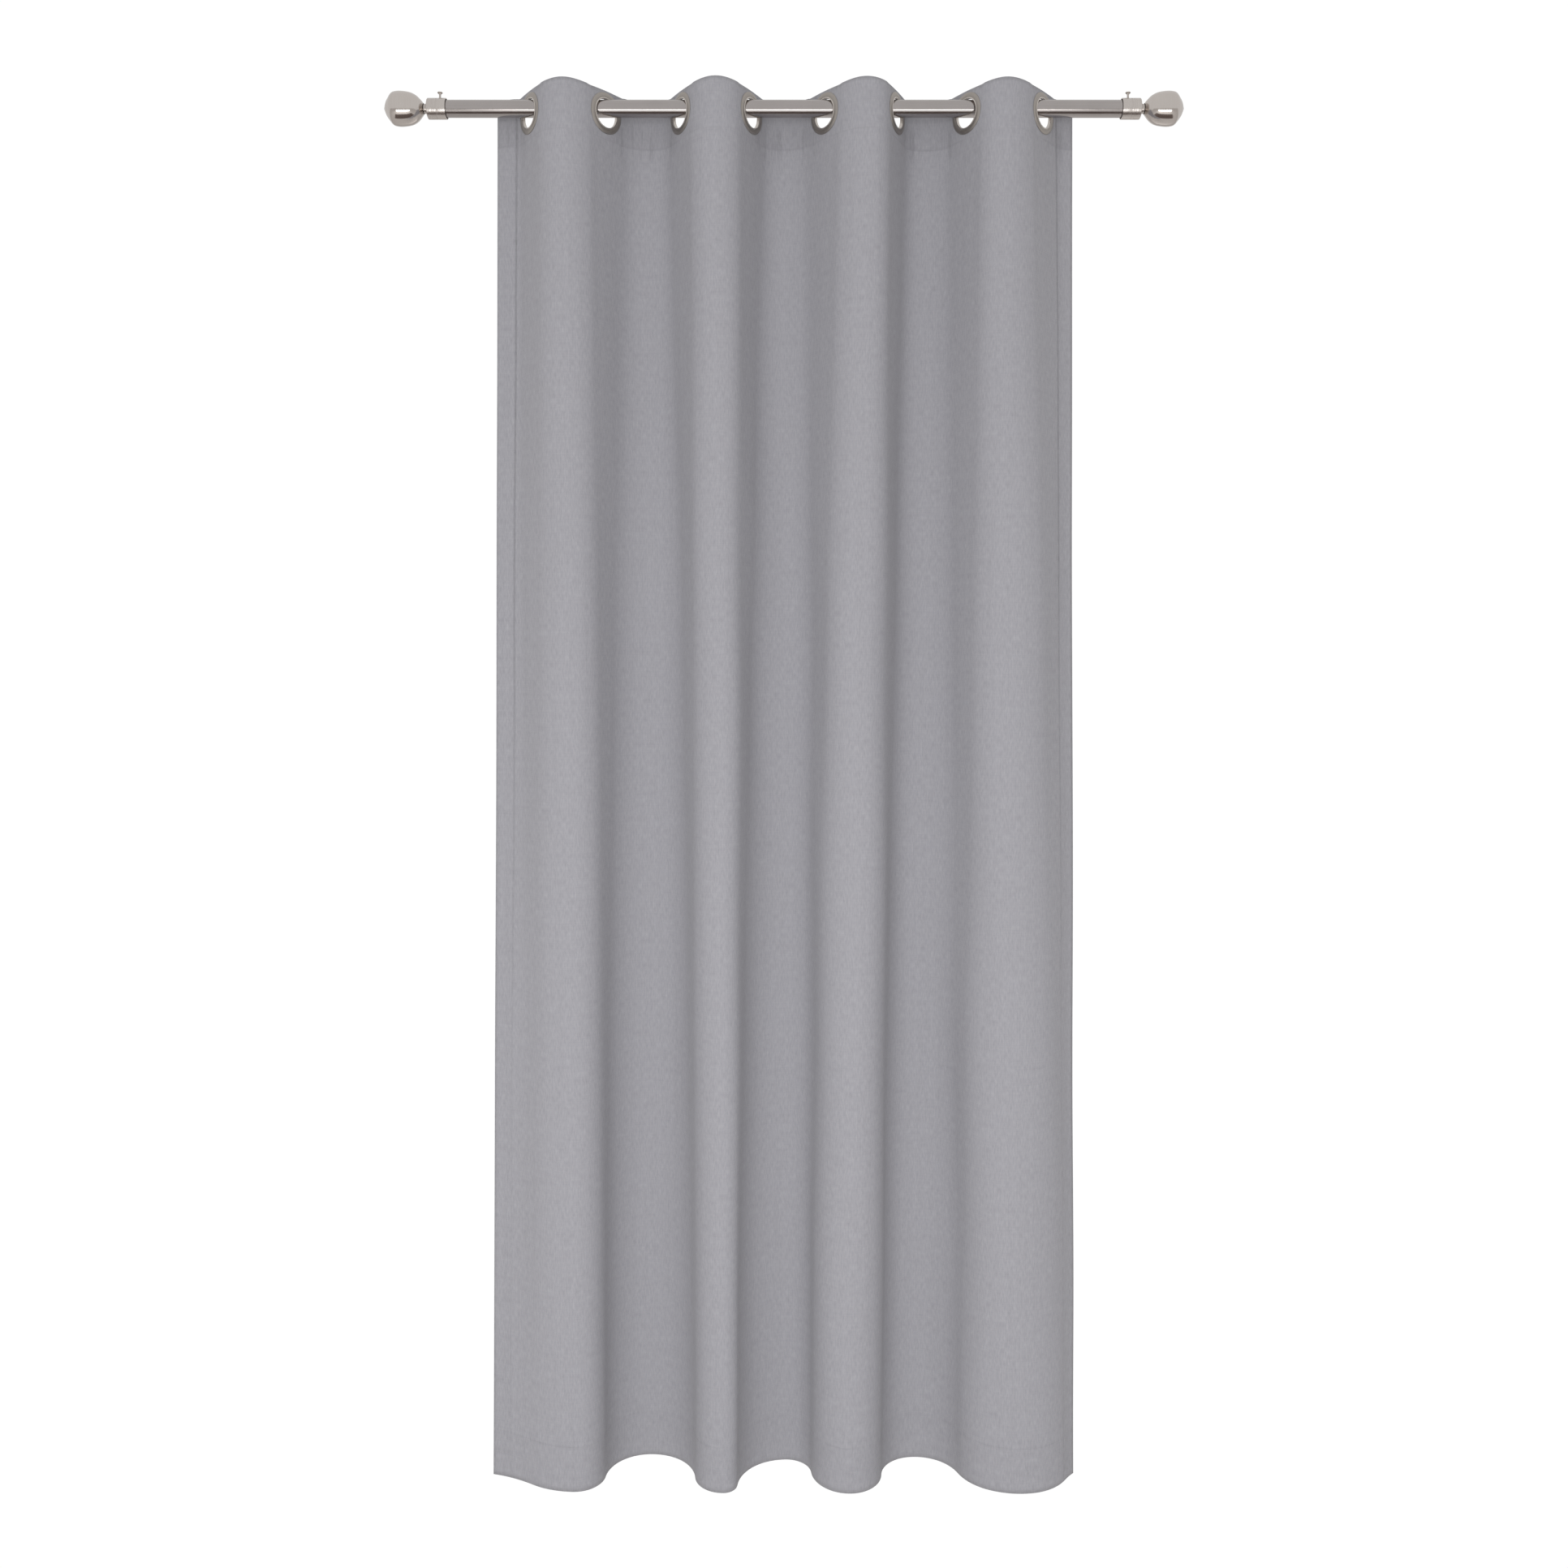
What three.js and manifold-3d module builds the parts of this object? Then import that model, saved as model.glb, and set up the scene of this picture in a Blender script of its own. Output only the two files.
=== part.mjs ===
// A fabric curtain panel that hangs by eight eyelets on a steel pole with bulb finials.
// Millimetres, +Z up, X along the pole, the room towards -Y.
// The origin is on the pole's axis, halfway between the two finials.
import * as THREE from "three";
import { mergeVertices } from "three/addons/utils/BufferGeometryUtils.js";
import Module from "manifold-3d";

// Pole
const POLE_LENGTH = 1246;
const POLE_RADIUS = 15;
const POLE_WALL = 1.2;
const POLE_SIDES = 32;
const END_DRAWN_IN = 0.3;

// Collar: a turned cup that slides over the pole's end
const COLLAR_LENGTH = 33;
const COLLAR_WALL = 1.5;
const COLLAR_PLAY = 1.5;
const COLLAR_END_WALL = 5;
const COLLAR_CHAMFER = 1.5;
const GROOVE_WIDTH = 1.4;
const GROOVE_DEPTH = 0.5;
const SCREW_FROM_RIM = 12;

// Thumb screw through the collar's wall
const SCREW_RADIUS = 2;
const SCREW_HEAD_RADIUS = 4.7;
const SCREW_HEAD_THICKNESS = 2.6;
const SCREW_STAND_OFF = 8.4;
const SCREW_DISH = 0.8;

// Stem: neck, stud into the bulb, and spigot with a riveted head inside the collar
const NECK_RADIUS = 8.4;
const NECK_SHOWING = 7.5;
const NECK_IN_BULB = 6;
const STUD_RADIUS = 3;
const SPIGOT_RADIUS = 5;
const RIVET_RADIUS = 9;
const RIVET_THICKNESS = 3;

// Bulb: a hollow shell with a pointed front and an open mouth
const BULB_LENGTH = 70;
const BULB_RADIUS = 29.9;
const BULB_WALL = 1.3;
const BULB_MOUTH_WALL = 1;
const BULB_MOUTH_PLAY = 0.8;
const BOSS_RADIUS = 7;
const BOSS_DEPTH = 16;
const BULB_EDGE_FROM_TIP = 11;
const BULB_EDGE_RADIUS = 21.5;
const BULB_BELLY_FROM_TIP = 31;

// Eyelets: the bore is the pole's size with a wide play
const EYELET_COUNT = 8;
const EYELET_PLAY = 10;
const FLANGE_WIDTH = 11;
const BARREL_WALL = 1.5;
const FRONT_FLANGE = 2.2;
const BACK_FLANGE = 1.6;
const EYELET_SIDES = 24;
const BORE_ROUNDING = 0.6;
const FLANGE_CROWN = 0.9;
const FLANGE_EDGE = 3;

// Cloth, as cut and hemmed, and as it hangs
const FLAT_WIDTH = 1400;
const FLAT_LENGTH = 2450;
const HUNG_WIDTH = 1031;
const HUNG_WIDTH_AT_HEM = 1027;
const OFF_CENTRE = 3;
const OFF_CENTRE_AT_HEM = -0.6;
const FABRIC = 0.8;
const EDGE_TO_EYELET = 80;
const TOP_MARGIN = 8;
const HEADING_HEIGHT = 92;
const SIDE_HEM = 36;
const BOTTOM_HEM = 80;
const SEAM_GAP = 2;

// Clearances
const GAP = 0.3;
const STACK_GAP = 0.35;
const ROOF_GAP = 0.2;

// Folds. Each flank of a fold runs through one eyelet. Its angle from the pole's direction is
// largest there and falls to nothing at the crests on either side. Towards the hem the flanks and
// crests drift sideways along the cloth. An edge run is how far past the straight part of the
// outer flank the angle falls to nothing.
const TOP_ANGLES = [56, 52, 59, 62, 52, 66, 56, 52];
const HEM_ANGLES = [33, 86, 82, 86, 86, 86, 66, 51];
const HEM_FLANK_DRIFT = [3, -23, 35, -33, -15, -4, 6, 53];
const HEM_CREST_DRIFT = [-42, 3, 20, 8, -4, 5, 48];
const TOP_EDGE_RUNS = [9, 44];
const HEM_EDGE_RUNS = [130, 138];
const STEEPEST = 86;
const STATION_STEP = 24;
const BAND_COUNT = 6;
const FINE_STEPS = 10;

const POLE_BORE = POLE_RADIUS - POLE_WALL;
const COLLAR_BORE = POLE_RADIUS + COLLAR_PLAY;
const COLLAR_RADIUS = COLLAR_BORE + COLLAR_WALL;
const COLLAR_FLOOR = COLLAR_LENGTH - COLLAR_END_WALL;
const RIM_X = POLE_LENGTH / 2 + GAP - COLLAR_FLOOR;
const POLE_END_RADIUS = POLE_RADIUS - END_DRAWN_IN;
const EYELET_BORE_RADIUS = POLE_RADIUS + EYELET_PLAY;
const EYELET_OUTER_RADIUS = EYELET_BORE_RADIUS + FLANGE_WIDTH;
const BARREL_RADIUS = EYELET_BORE_RADIUS + BARREL_WALL;
const PITCH = (FLAT_WIDTH - 2 * EDGE_TO_EYELET) / (EYELET_COUNT - 1);
const EYELET_STATIONS = Array.from({ length: EYELET_COUNT }, (_, i) => EDGE_TO_EYELET + i * PITCH);

// Layers through the cloth, measured from the face cloth's middle towards its back
const FACE_FRONT = -FABRIC / 2;
const FACE_BACK = FABRIC / 2;
const HEM_FRONT = FACE_BACK + STACK_GAP;
const HEM_BACK = HEM_FRONT + FABRIC;
const FRONT_SEAT = FACE_FRONT - STACK_GAP;
const BACK_SEAT = HEM_BACK + STACK_GAP;

const wasm = await Module();
wasm.setup();

const steel = { color: 0xb7b0aa, metalness: 1, roughness: 0.32 };
const polished = { color: 0xc4beb8, metalness: 1, roughness: 0.18 };
const nickel = { color: 0x9b9188, metalness: 0.9, roughness: 0.42 };
const greyCloth = { color: 0x96959a, metalness: 0, roughness: 0.95 };

const panel = new THREE.Group();

function piece(name, geometry, finish) {
  const mesh = new THREE.Mesh(geometry, new THREE.MeshStandardMaterial(finish));
  mesh.name = name;
  return mesh;
}

// A solid of revolution about Y, from a closed outline of [radius, height] points.
function turned(outline, sides) {
  const points = outline.map(([radius, height]) => new THREE.Vector2(radius, height));
  return new THREE.LatheGeometry(points, sides, Math.PI / sides);
}

// The same, with its axis turned from Y to X.
function turnedAlongX(outline, sides) {
  return turned(outline, sides).rotateZ(-Math.PI / 2);
}

function solidOf(geometry) {
  const bare = new THREE.BufferGeometry();
  bare.setAttribute("position", geometry.getAttribute("position"));
  bare.setIndex(geometry.index);
  const merged = mergeVertices(bare, 1e-4);
  const vertProperties = merged.attributes.position.array;
  const triVerts = new Uint32Array(merged.index.array);
  return new wasm.Manifold(new wasm.Mesh({ numProp: 3, vertProperties, triVerts }));
}

function geometryOf(solid) {
  const mesh = solid.getMesh();
  const geometry = new THREE.BufferGeometry();
  geometry.setAttribute("position", new THREE.BufferAttribute(mesh.vertProperties, 3));
  geometry.setIndex(new THREE.BufferAttribute(mesh.triVerts, 1));
  return geometry;
}

function cut(geometry, cutters) {
  return geometryOf(cutters.reduce((left, cutter) => left.subtract(solidOf(cutter)), solidOf(geometry)));
}

// ---- Folds in plan ----

// The depth that a quarter fold of unit angle slope gains while its angle falls to nothing.
function arcDepth(angle) {
  return (1 - Math.cos(angle)) / angle;
}

// Crests between the eyelets, placed so that every eyelet stays on the pole's axis.
function crestsBetween(angles, straight) {
  const crests = [];
  for (let i = 0; i < EYELET_COUNT - 1; i += 1) {
    const [near, far] = [angles[i], angles[i + 1]];
    const tilt = straight * (Math.sin(far) - Math.sin(near));
    const share = (tilt + (PITCH - 2 * straight) * arcDepth(far)) / (arcDepth(near) + arcDepth(far));
    crests.push(EYELET_STATIONS[i] + straight + share);
  }
  return crests;
}

// Flanks of the fold pattern at a share of the drop from the heading to the hem.
function flanksAt(drop, scale) {
  const angles = TOP_ANGLES.map((top, i) => {
    const leaning = (top + (HEM_ANGLES[i] - top) * drop) * scale;
    return THREE.MathUtils.degToRad(Math.min(leaning, STEEPEST));
  });
  const straight = EYELET_OUTER_RADIUS * (1 - drop);
  const inner = crestsBetween(angles, straight).map((crest, i) => crest + HEM_CREST_DRIFT[i] * drop);
  const steepest = EYELET_STATIONS.map((station, i) => station + HEM_FLANK_DRIFT[i] * drop);
  const runs = TOP_EDGE_RUNS.map((top, i) => top + (HEM_EDGE_RUNS[i] - top) * drop);
  const [first, last] = [steepest[0] - straight, steepest[EYELET_COUNT - 1] + straight];
  const crests = [first - runs[0], ...inner, last + runs[1]];
  return { angles, straight, steepest, crests };
}

// The cloth's direction at a distance along its width: straight through the middle of a flank,
// then an even bend to the crest. Flanks turn to the front and to the back in turn.
function directionAt(station, { angles, straight, steepest, crests }) {
  let flank = 0;
  while (flank < EYELET_COUNT - 1 && station > crests[flank + 1]) flank += 1;
  const middle = steepest[flank];
  const reach = station < middle ? middle - crests[flank] : crests[flank + 1] - middle;
  const bent = THREE.MathUtils.clamp((Math.abs(station - middle) - straight) / (reach - straight), 0, 1);
  const side = flank % 2 === 0 ? -1 : 1;
  return side * angles[flank] * (1 - bent);
}

// Walks the cloth's width in fine steps and notes the place and direction at each station.
function walk(drop, scale) {
  const flanks = flanksAt(drop, scale);
  const points = [];
  let [x, y, sumY, last] = [0, 0, 0, 0];
  for (const station of STATIONS) {
    const step = (station - last) / FINE_STEPS;
    for (let k = 0; k < FINE_STEPS; k += 1) {
      const direction = directionAt(last + (k + 0.5) * step, flanks);
      x += Math.cos(direction) * step;
      y += Math.sin(direction) * step;
      sumY += y * step;
    }
    last = station;
    points.push({ station, x, y, direction: directionAt(station, flanks) });
  }
  return { points, width: x, meanY: sumY / FLAT_WIDTH };
}

// The fold pattern at a drop, with its angles scaled so that the hung width is right.
function planAt(drop) {
  const width = HUNG_WIDTH + (HUNG_WIDTH_AT_HEM - HUNG_WIDTH) * drop;
  const left = OFF_CENTRE + (OFF_CENTRE_AT_HEM - OFF_CENTRE) * drop - width / 2;
  let [low, high] = [0.3, 2];
  for (let k = 0; k < 40; k += 1) {
    const middle = (low + high) / 2;
    if (walk(drop, middle).width > width) low = middle;
    else high = middle;
  }
  const { points, meanY } = walk(drop, low);
  const onPole = points.filter((point) => EYELET_STATIONS.includes(point.station));
  const eyeletY = onPole.reduce((sum, point) => sum + point.y, 0) / EYELET_COUNT;
  const shiftY = eyeletY * (1 - drop) + meanY * drop;
  return points.map((point) => ({ ...point, x: point.x + left, y: point.y - shiftY }));
}

// Distances along the width where the cloth is drawn: hem edges, eyelets, and even steps between.
function stationList() {
  const marks = [0, SIDE_HEM, SIDE_HEM + SEAM_GAP];
  for (const station of EYELET_STATIONS) {
    marks.push(station - EYELET_OUTER_RADIUS, station, station + EYELET_OUTER_RADIUS);
  }
  marks.push(FLAT_WIDTH - SIDE_HEM - SEAM_GAP, FLAT_WIDTH - SIDE_HEM, FLAT_WIDTH);
  marks.sort((a, b) => a - b);
  const stations = [marks[0]];
  for (let i = 1; i < marks.length; i += 1) {
    const span = marks[i] - marks[i - 1];
    const steps = Math.max(1, Math.round(span / STATION_STEP));
    for (let k = 1; k <= steps; k += 1) stations.push(k === steps ? marks[i] : marks[i - 1] + (k * span) / steps);
  }
  return stations;
}

const STATIONS = stationList();

// Height of an eyelet's centre when the pole's top touches its bore. The bore leans, so the pole
// sees an ellipse, made narrower by the barrel's depth.
function hangHeight(direction) {
  const lean = Math.abs(direction);
  const halfDepth = (BACK_SEAT + BACK_FLANGE - FRONT_SEAT + FRONT_FLANGE) / 2 - BORE_ROUNDING;
  const flatOfBore = EYELET_BORE_RADIUS * Math.cos(Math.PI / EYELET_SIDES);
  const halfWidth = flatOfBore * Math.sin(lean);
  let height = -Infinity;
  for (let across = 0; across < POLE_RADIUS; across += POLE_RADIUS / 30) {
    const share = (across + halfDepth * Math.cos(lean)) / halfWidth;
    const roof = flatOfBore * Math.sqrt(Math.max(0, 1 - share * share));
    const poleTop = Math.sqrt(POLE_RADIUS * POLE_RADIUS - across * across);
    height = Math.max(height, poleTop - roof);
  }
  return height + ROOF_GAP;
}

const HEADING_PLAN = planAt(0);
const EYELETS = HEADING_PLAN.filter((point) => EYELET_STATIONS.includes(point.station));
const HANG_Z = Math.max(...EYELETS.map((eyelet) => hangHeight(eyelet.direction)));
const TOP_Z = HANG_Z + EYELET_OUTER_RADIUS + TOP_MARGIN;
const HEADING_Z = TOP_Z - HEADING_HEIGHT;
const BOTTOM_Z = TOP_Z - FLAT_LENGTH;
const HEM_Z = BOTTOM_Z + BOTTOM_HEM;

function rowAt(z) {
  const drop = THREE.MathUtils.clamp((HEADING_Z - z) / (HEADING_Z - BOTTOM_Z), 0, 1);
  return { z, points: drop === 0 ? HEADING_PLAN : planAt(drop) };
}

// Heights where the cloth is drawn, from the heading's lower edge down to the bottom hem's top.
const BANDS = Array.from({ length: BAND_COUNT + 1 }, (_, i) => HEADING_Z + ((HEM_Z - HEADING_Z) * i) / BAND_COUNT);
const ROWS = [TOP_Z, ...BANDS, BOTTOM_Z].map(rowAt);
const BODY_ROWS = [HEADING_Z - SEAM_GAP, ...BANDS.slice(1), BOTTOM_Z].map(rowAt);

// ---- Cloth solids ----

// A closed sheet between two offsets from the face cloth's middle, over a stretch of its width.
function sheet(rows, fromStation, toStation, front, back) {
  const positions = [];
  const inside = (point) => point.station >= fromStation - GAP / 2 && point.station <= toStation + GAP / 2;
  const lines = rows.map(({ z, points }) => ({ z, points: points.filter(inside) }));
  const across = lines[0].points.length;
  const down = lines.length;
  for (const offset of [front, back]) {
    for (const { z, points } of lines) {
      for (const { x, y, direction } of points) {
        positions.push(x - Math.sin(direction) * offset, y + Math.cos(direction) * offset, z);
      }
    }
  }
  const at = (layer, row, column) => layer * across * down + row * across + column;
  const faces = [];
  const quad = (a, b, c, d) => faces.push(a, b, c, a, c, d);
  for (let r = 0; r < down - 1; r += 1) {
    for (let c = 0; c < across - 1; c += 1) {
      quad(at(0, r, c), at(0, r + 1, c), at(0, r + 1, c + 1), at(0, r, c + 1));
      quad(at(1, r, c), at(1, r, c + 1), at(1, r + 1, c + 1), at(1, r + 1, c));
    }
    quad(at(0, r, 0), at(1, r, 0), at(1, r + 1, 0), at(0, r + 1, 0));
    quad(at(0, r, across - 1), at(0, r + 1, across - 1), at(1, r + 1, across - 1), at(1, r, across - 1));
  }
  for (let c = 0; c < across - 1; c += 1) {
    quad(at(0, 0, c), at(0, 0, c + 1), at(1, 0, c + 1), at(1, 0, c));
    quad(at(0, down - 1, c), at(1, down - 1, c), at(1, down - 1, c + 1), at(0, down - 1, c + 1));
  }
  const geometry = new THREE.BufferGeometry();
  geometry.setAttribute("position", new THREE.Float32BufferAttribute(positions, 3));
  geometry.setIndex(faces);
  return geometry;
}

// Round cutters for the eyelet barrels, through every layer of the heading.
function eyeletCutters() {
  const radius = BARREL_RADIUS + GAP;
  const depth = 4 * (HEM_BACK - FACE_FRONT);
  const outline = [
    [0, -depth],
    [radius, -depth],
    [radius, depth],
    [0, depth],
  ];
  return EYELETS.map(({ x, y, direction }) =>
    turned(outline, EYELET_SIDES).applyMatrix4(eyeletPlace(x, y, direction)),
  );
}

function eyeletPlace(x, y, direction) {
  return new THREE.Matrix4().makeRotationZ(direction).setPosition(x, y, HANG_Z);
}

function cloth() {
  const group = new THREE.Group();
  const cutters = eyeletCutters();
  const face = sheet(ROWS, 0, FLAT_WIDTH, FACE_FRONT, FACE_BACK);
  const heading = sheet(ROWS.slice(0, 2), 0, FLAT_WIDTH, HEM_FRONT, HEM_BACK);
  group.add(piece("fabric_panel", cut(face, cutters), greyCloth));
  group.add(piece("heading_hem", cut(heading, cutters), greyCloth));
  const left = sheet(BODY_ROWS, 0, SIDE_HEM, HEM_FRONT, HEM_BACK);
  const right = sheet(BODY_ROWS, FLAT_WIDTH - SIDE_HEM, FLAT_WIDTH, HEM_FRONT, HEM_BACK);
  const inset = SIDE_HEM + SEAM_GAP;
  const bottom = sheet(BODY_ROWS.slice(-2), inset, FLAT_WIDTH - inset, HEM_FRONT, HEM_BACK);
  group.add(piece("side_hem_left", left, greyCloth));
  group.add(piece("side_hem_right", right, greyCloth));
  group.add(piece("bottom_hem", bottom, greyCloth));
  return group;
}

// ---- Eyelets ----

// The front half: a rounded flange and the barrel that goes through the cloth.
function eyeletFront() {
  const seat = FRONT_SEAT;
  const nose = FRONT_SEAT - FRONT_FLANGE;
  const barrelEnd = BACK_SEAT + BACK_FLANGE;
  const outline = [
    [EYELET_BORE_RADIUS + BORE_ROUNDING, barrelEnd],
    [EYELET_BORE_RADIUS, barrelEnd - BORE_ROUNDING],
    [EYELET_BORE_RADIUS, nose + BORE_ROUNDING],
    [EYELET_BORE_RADIUS + FLANGE_CROWN, nose],
    [EYELET_OUTER_RADIUS - FLANGE_EDGE, nose + BORE_ROUNDING],
    [EYELET_OUTER_RADIUS, seat],
    [BARREL_RADIUS, seat],
    [BARREL_RADIUS, barrelEnd],
    [EYELET_BORE_RADIUS + BORE_ROUNDING, barrelEnd],
  ];
  return turned(outline, EYELET_SIDES);
}

// The back half: a washer around the barrel's end.
function eyeletBack() {
  const inner = BARREL_RADIUS + GAP;
  const outline = [
    [inner, BACK_SEAT + BACK_FLANGE],
    [inner, BACK_SEAT],
    [EYELET_OUTER_RADIUS, BACK_SEAT],
    [EYELET_OUTER_RADIUS - BACK_FLANGE, BACK_SEAT + BACK_FLANGE],
    [inner, BACK_SEAT + BACK_FLANGE],
  ];
  return turned(outline, EYELET_SIDES);
}

function eyelets() {
  const group = new THREE.Group();
  EYELETS.forEach(({ x, y, direction }, i) => {
    const eyelet = new THREE.Group();
    eyelet.position.set(x, y, HANG_Z);
    eyelet.rotation.z = direction;
    eyelet.add(piece(`eyelet_${i + 1}_front`, eyeletFront(), nickel));
    eyelet.add(piece(`eyelet_${i + 1}_back`, eyeletBack(), nickel));
    group.add(eyelet);
  });
  return group;
}

// ---- Pole and finials ----

// The tube, with its ends drawn in a little where the collars slide on.
function pole() {
  const half = POLE_LENGTH / 2;
  const shoulder = RIM_X - GAP;
  const outline = [
    [POLE_BORE, -half],
    [POLE_END_RADIUS, -half],
    [POLE_END_RADIUS, -shoulder],
    [POLE_RADIUS, -shoulder],
    [POLE_RADIUS, shoulder],
    [POLE_END_RADIUS, shoulder],
    [POLE_END_RADIUS, half],
    [POLE_BORE, half],
    [POLE_BORE, -half],
  ];
  return piece("pole_tube", turnedAlongX(outline, POLE_SIDES), steel);
}

// Finial pieces are drawn with X outwards from the collar's rim.
function collar() {
  const groove = SCREW_FROM_RIM + SCREW_RADIUS + GROOVE_WIDTH;
  const outline = [
    [SPIGOT_RADIUS + GAP, COLLAR_LENGTH],
    [SPIGOT_RADIUS + GAP, COLLAR_FLOOR],
    [COLLAR_BORE, COLLAR_FLOOR],
    [COLLAR_BORE, 0],
    [COLLAR_RADIUS, 0],
    [COLLAR_RADIUS, groove],
    [COLLAR_RADIUS - GROOVE_DEPTH, groove],
    [COLLAR_RADIUS - GROOVE_DEPTH, groove + GROOVE_WIDTH],
    [COLLAR_RADIUS, groove + GROOVE_WIDTH],
    [COLLAR_RADIUS, COLLAR_LENGTH - COLLAR_CHAMFER],
    [COLLAR_RADIUS - COLLAR_CHAMFER, COLLAR_LENGTH],
    [SPIGOT_RADIUS + GAP, COLLAR_LENGTH],
  ];
  const hole = new THREE.CylinderGeometry(SCREW_RADIUS + GAP, SCREW_RADIUS + GAP, COLLAR_RADIUS, 16);
  hole.rotateX(Math.PI / 2).translate(SCREW_FROM_RIM, 0, COLLAR_RADIUS);
  return cut(turnedAlongX(outline, POLE_SIDES), [hole]);
}

function thumbScrew() {
  const foot = POLE_END_RADIUS + GAP;
  const neck = COLLAR_RADIUS + SCREW_STAND_OFF;
  const top = neck + SCREW_HEAD_THICKNESS;
  const outline = [
    [0, foot],
    [SCREW_RADIUS, foot],
    [SCREW_RADIUS, neck],
    [SCREW_HEAD_RADIUS, neck + SCREW_HEAD_THICKNESS / 2],
    [SCREW_HEAD_RADIUS, top],
    [SCREW_HEAD_RADIUS - SCREW_DISH, top],
    [0, top - SCREW_DISH],
  ];
  return turned(outline, 16).rotateX(Math.PI / 2).translate(SCREW_FROM_RIM, 0, 0);
}

const MOUTH = COLLAR_LENGTH + GAP + NECK_SHOWING;
const TIP = MOUTH + BULB_LENGTH;
const BOSS_FACE = TIP - BULB_EDGE_FROM_TIP - BOSS_DEPTH;
const STUD_END = BOSS_FACE + BOSS_DEPTH - GAP;

// The outer outline, from the mouth over the belly to the soft edge and the pointed tip.
function bulbOutline() {
  const mouthRadius = NECK_RADIUS + BULB_MOUTH_PLAY + BULB_MOUTH_WALL;
  const shoulder = new THREE.SplineCurve([
    new THREE.Vector2(mouthRadius, MOUTH),
    new THREE.Vector2(BULB_RADIUS * 0.72, MOUTH + BULB_LENGTH * 0.16),
    new THREE.Vector2(BULB_RADIUS * 0.93, MOUTH + BULB_LENGTH * 0.33),
    new THREE.Vector2(BULB_RADIUS, TIP - BULB_BELLY_FROM_TIP),
    new THREE.Vector2(BULB_RADIUS * 0.93, TIP - BULB_BELLY_FROM_TIP * 0.56),
    new THREE.Vector2(BULB_EDGE_RADIUS, TIP - BULB_EDGE_FROM_TIP),
  ]);
  return shoulder.getPoints(9).map((point) => [point.x, point.y]);
}

function bulb() {
  const outer = bulbOutline();
  const inner = outer.slice(0, -1).map(([radius, x]) => [radius - BULB_WALL, x]);
  inner[0][0] = NECK_RADIUS + BULB_MOUTH_PLAY;
  const floor = TIP - BULB_EDGE_FROM_TIP - BULB_WALL;
  const outline = [
    ...outer,
    [0, TIP],
    [0, STUD_END + GAP],
    [STUD_RADIUS + GAP, STUD_END + GAP],
    [STUD_RADIUS + GAP, BOSS_FACE],
    [BOSS_RADIUS, BOSS_FACE],
    [BOSS_RADIUS, floor],
    ...inner.reverse().filter(([, x]) => x < floor),
  ];
  return turnedAlongX([...outline, outer[0]], EYELET_SIDES);
}

function stem() {
  const inside = COLLAR_FLOOR - GAP;
  const neckStart = COLLAR_LENGTH + GAP;
  const outline = [
    [0, inside - RIVET_THICKNESS],
    [RIVET_RADIUS, inside - RIVET_THICKNESS],
    [RIVET_RADIUS, inside],
    [SPIGOT_RADIUS, inside],
    [SPIGOT_RADIUS, neckStart],
    [NECK_RADIUS, neckStart],
    [NECK_RADIUS, MOUTH + NECK_IN_BULB],
    [STUD_RADIUS, MOUTH + NECK_IN_BULB],
    [STUD_RADIUS, STUD_END],
    [0, STUD_END],
  ];
  return turnedAlongX(outline, 20);
}

function finial(side, turn) {
  const group = new THREE.Group();
  group.rotation.z = turn;
  group.position.x = Math.cos(turn) * RIM_X;
  group.add(piece(`collar_${side}`, collar(), steel));
  group.add(piece(`thumb_screw_${side}`, thumbScrew(), steel));
  group.add(piece(`finial_stem_${side}`, stem(), steel));
  group.add(piece(`finial_bulb_${side}`, bulb(), polished));
  return group;
}

panel.add(pole());
panel.add(finial("right", 0));
panel.add(finial("left", Math.PI));
panel.add(eyelets());
panel.add(cloth());

export default panel;
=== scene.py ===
import math

import bmesh
import bpy
import numpy as np
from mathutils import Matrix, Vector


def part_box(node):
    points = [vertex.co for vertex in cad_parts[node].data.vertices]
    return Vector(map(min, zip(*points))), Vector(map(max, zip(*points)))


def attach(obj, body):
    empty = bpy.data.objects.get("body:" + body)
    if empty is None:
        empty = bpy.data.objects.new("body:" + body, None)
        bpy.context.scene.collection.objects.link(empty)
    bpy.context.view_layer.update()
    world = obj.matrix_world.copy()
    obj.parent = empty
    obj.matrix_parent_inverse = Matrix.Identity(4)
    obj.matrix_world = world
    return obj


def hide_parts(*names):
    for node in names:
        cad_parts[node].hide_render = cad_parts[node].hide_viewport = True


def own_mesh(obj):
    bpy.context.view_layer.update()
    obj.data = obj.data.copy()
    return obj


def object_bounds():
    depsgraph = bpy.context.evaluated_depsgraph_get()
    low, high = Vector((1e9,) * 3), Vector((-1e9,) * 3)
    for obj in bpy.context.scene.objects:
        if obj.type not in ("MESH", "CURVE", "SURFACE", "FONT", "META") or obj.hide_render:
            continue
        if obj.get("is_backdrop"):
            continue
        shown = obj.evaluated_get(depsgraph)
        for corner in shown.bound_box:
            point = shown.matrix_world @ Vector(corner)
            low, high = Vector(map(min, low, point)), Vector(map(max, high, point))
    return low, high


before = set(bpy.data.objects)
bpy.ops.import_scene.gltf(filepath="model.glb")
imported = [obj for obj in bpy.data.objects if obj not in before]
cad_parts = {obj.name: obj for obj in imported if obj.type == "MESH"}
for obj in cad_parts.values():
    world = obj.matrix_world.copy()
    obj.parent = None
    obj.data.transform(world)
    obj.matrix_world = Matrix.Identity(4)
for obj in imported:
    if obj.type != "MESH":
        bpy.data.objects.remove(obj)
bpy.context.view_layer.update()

# ---------------------------------------------------------------------------------------------
# Camera: level, at about two fifths of the panel's drop below the pole, square to the window.
# The frame is let down below eye level by the lens shift, so that the pole and the hem both show.
EYE_HEIGHT = -0.98
EYE_DISTANCE = 2.465
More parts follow.
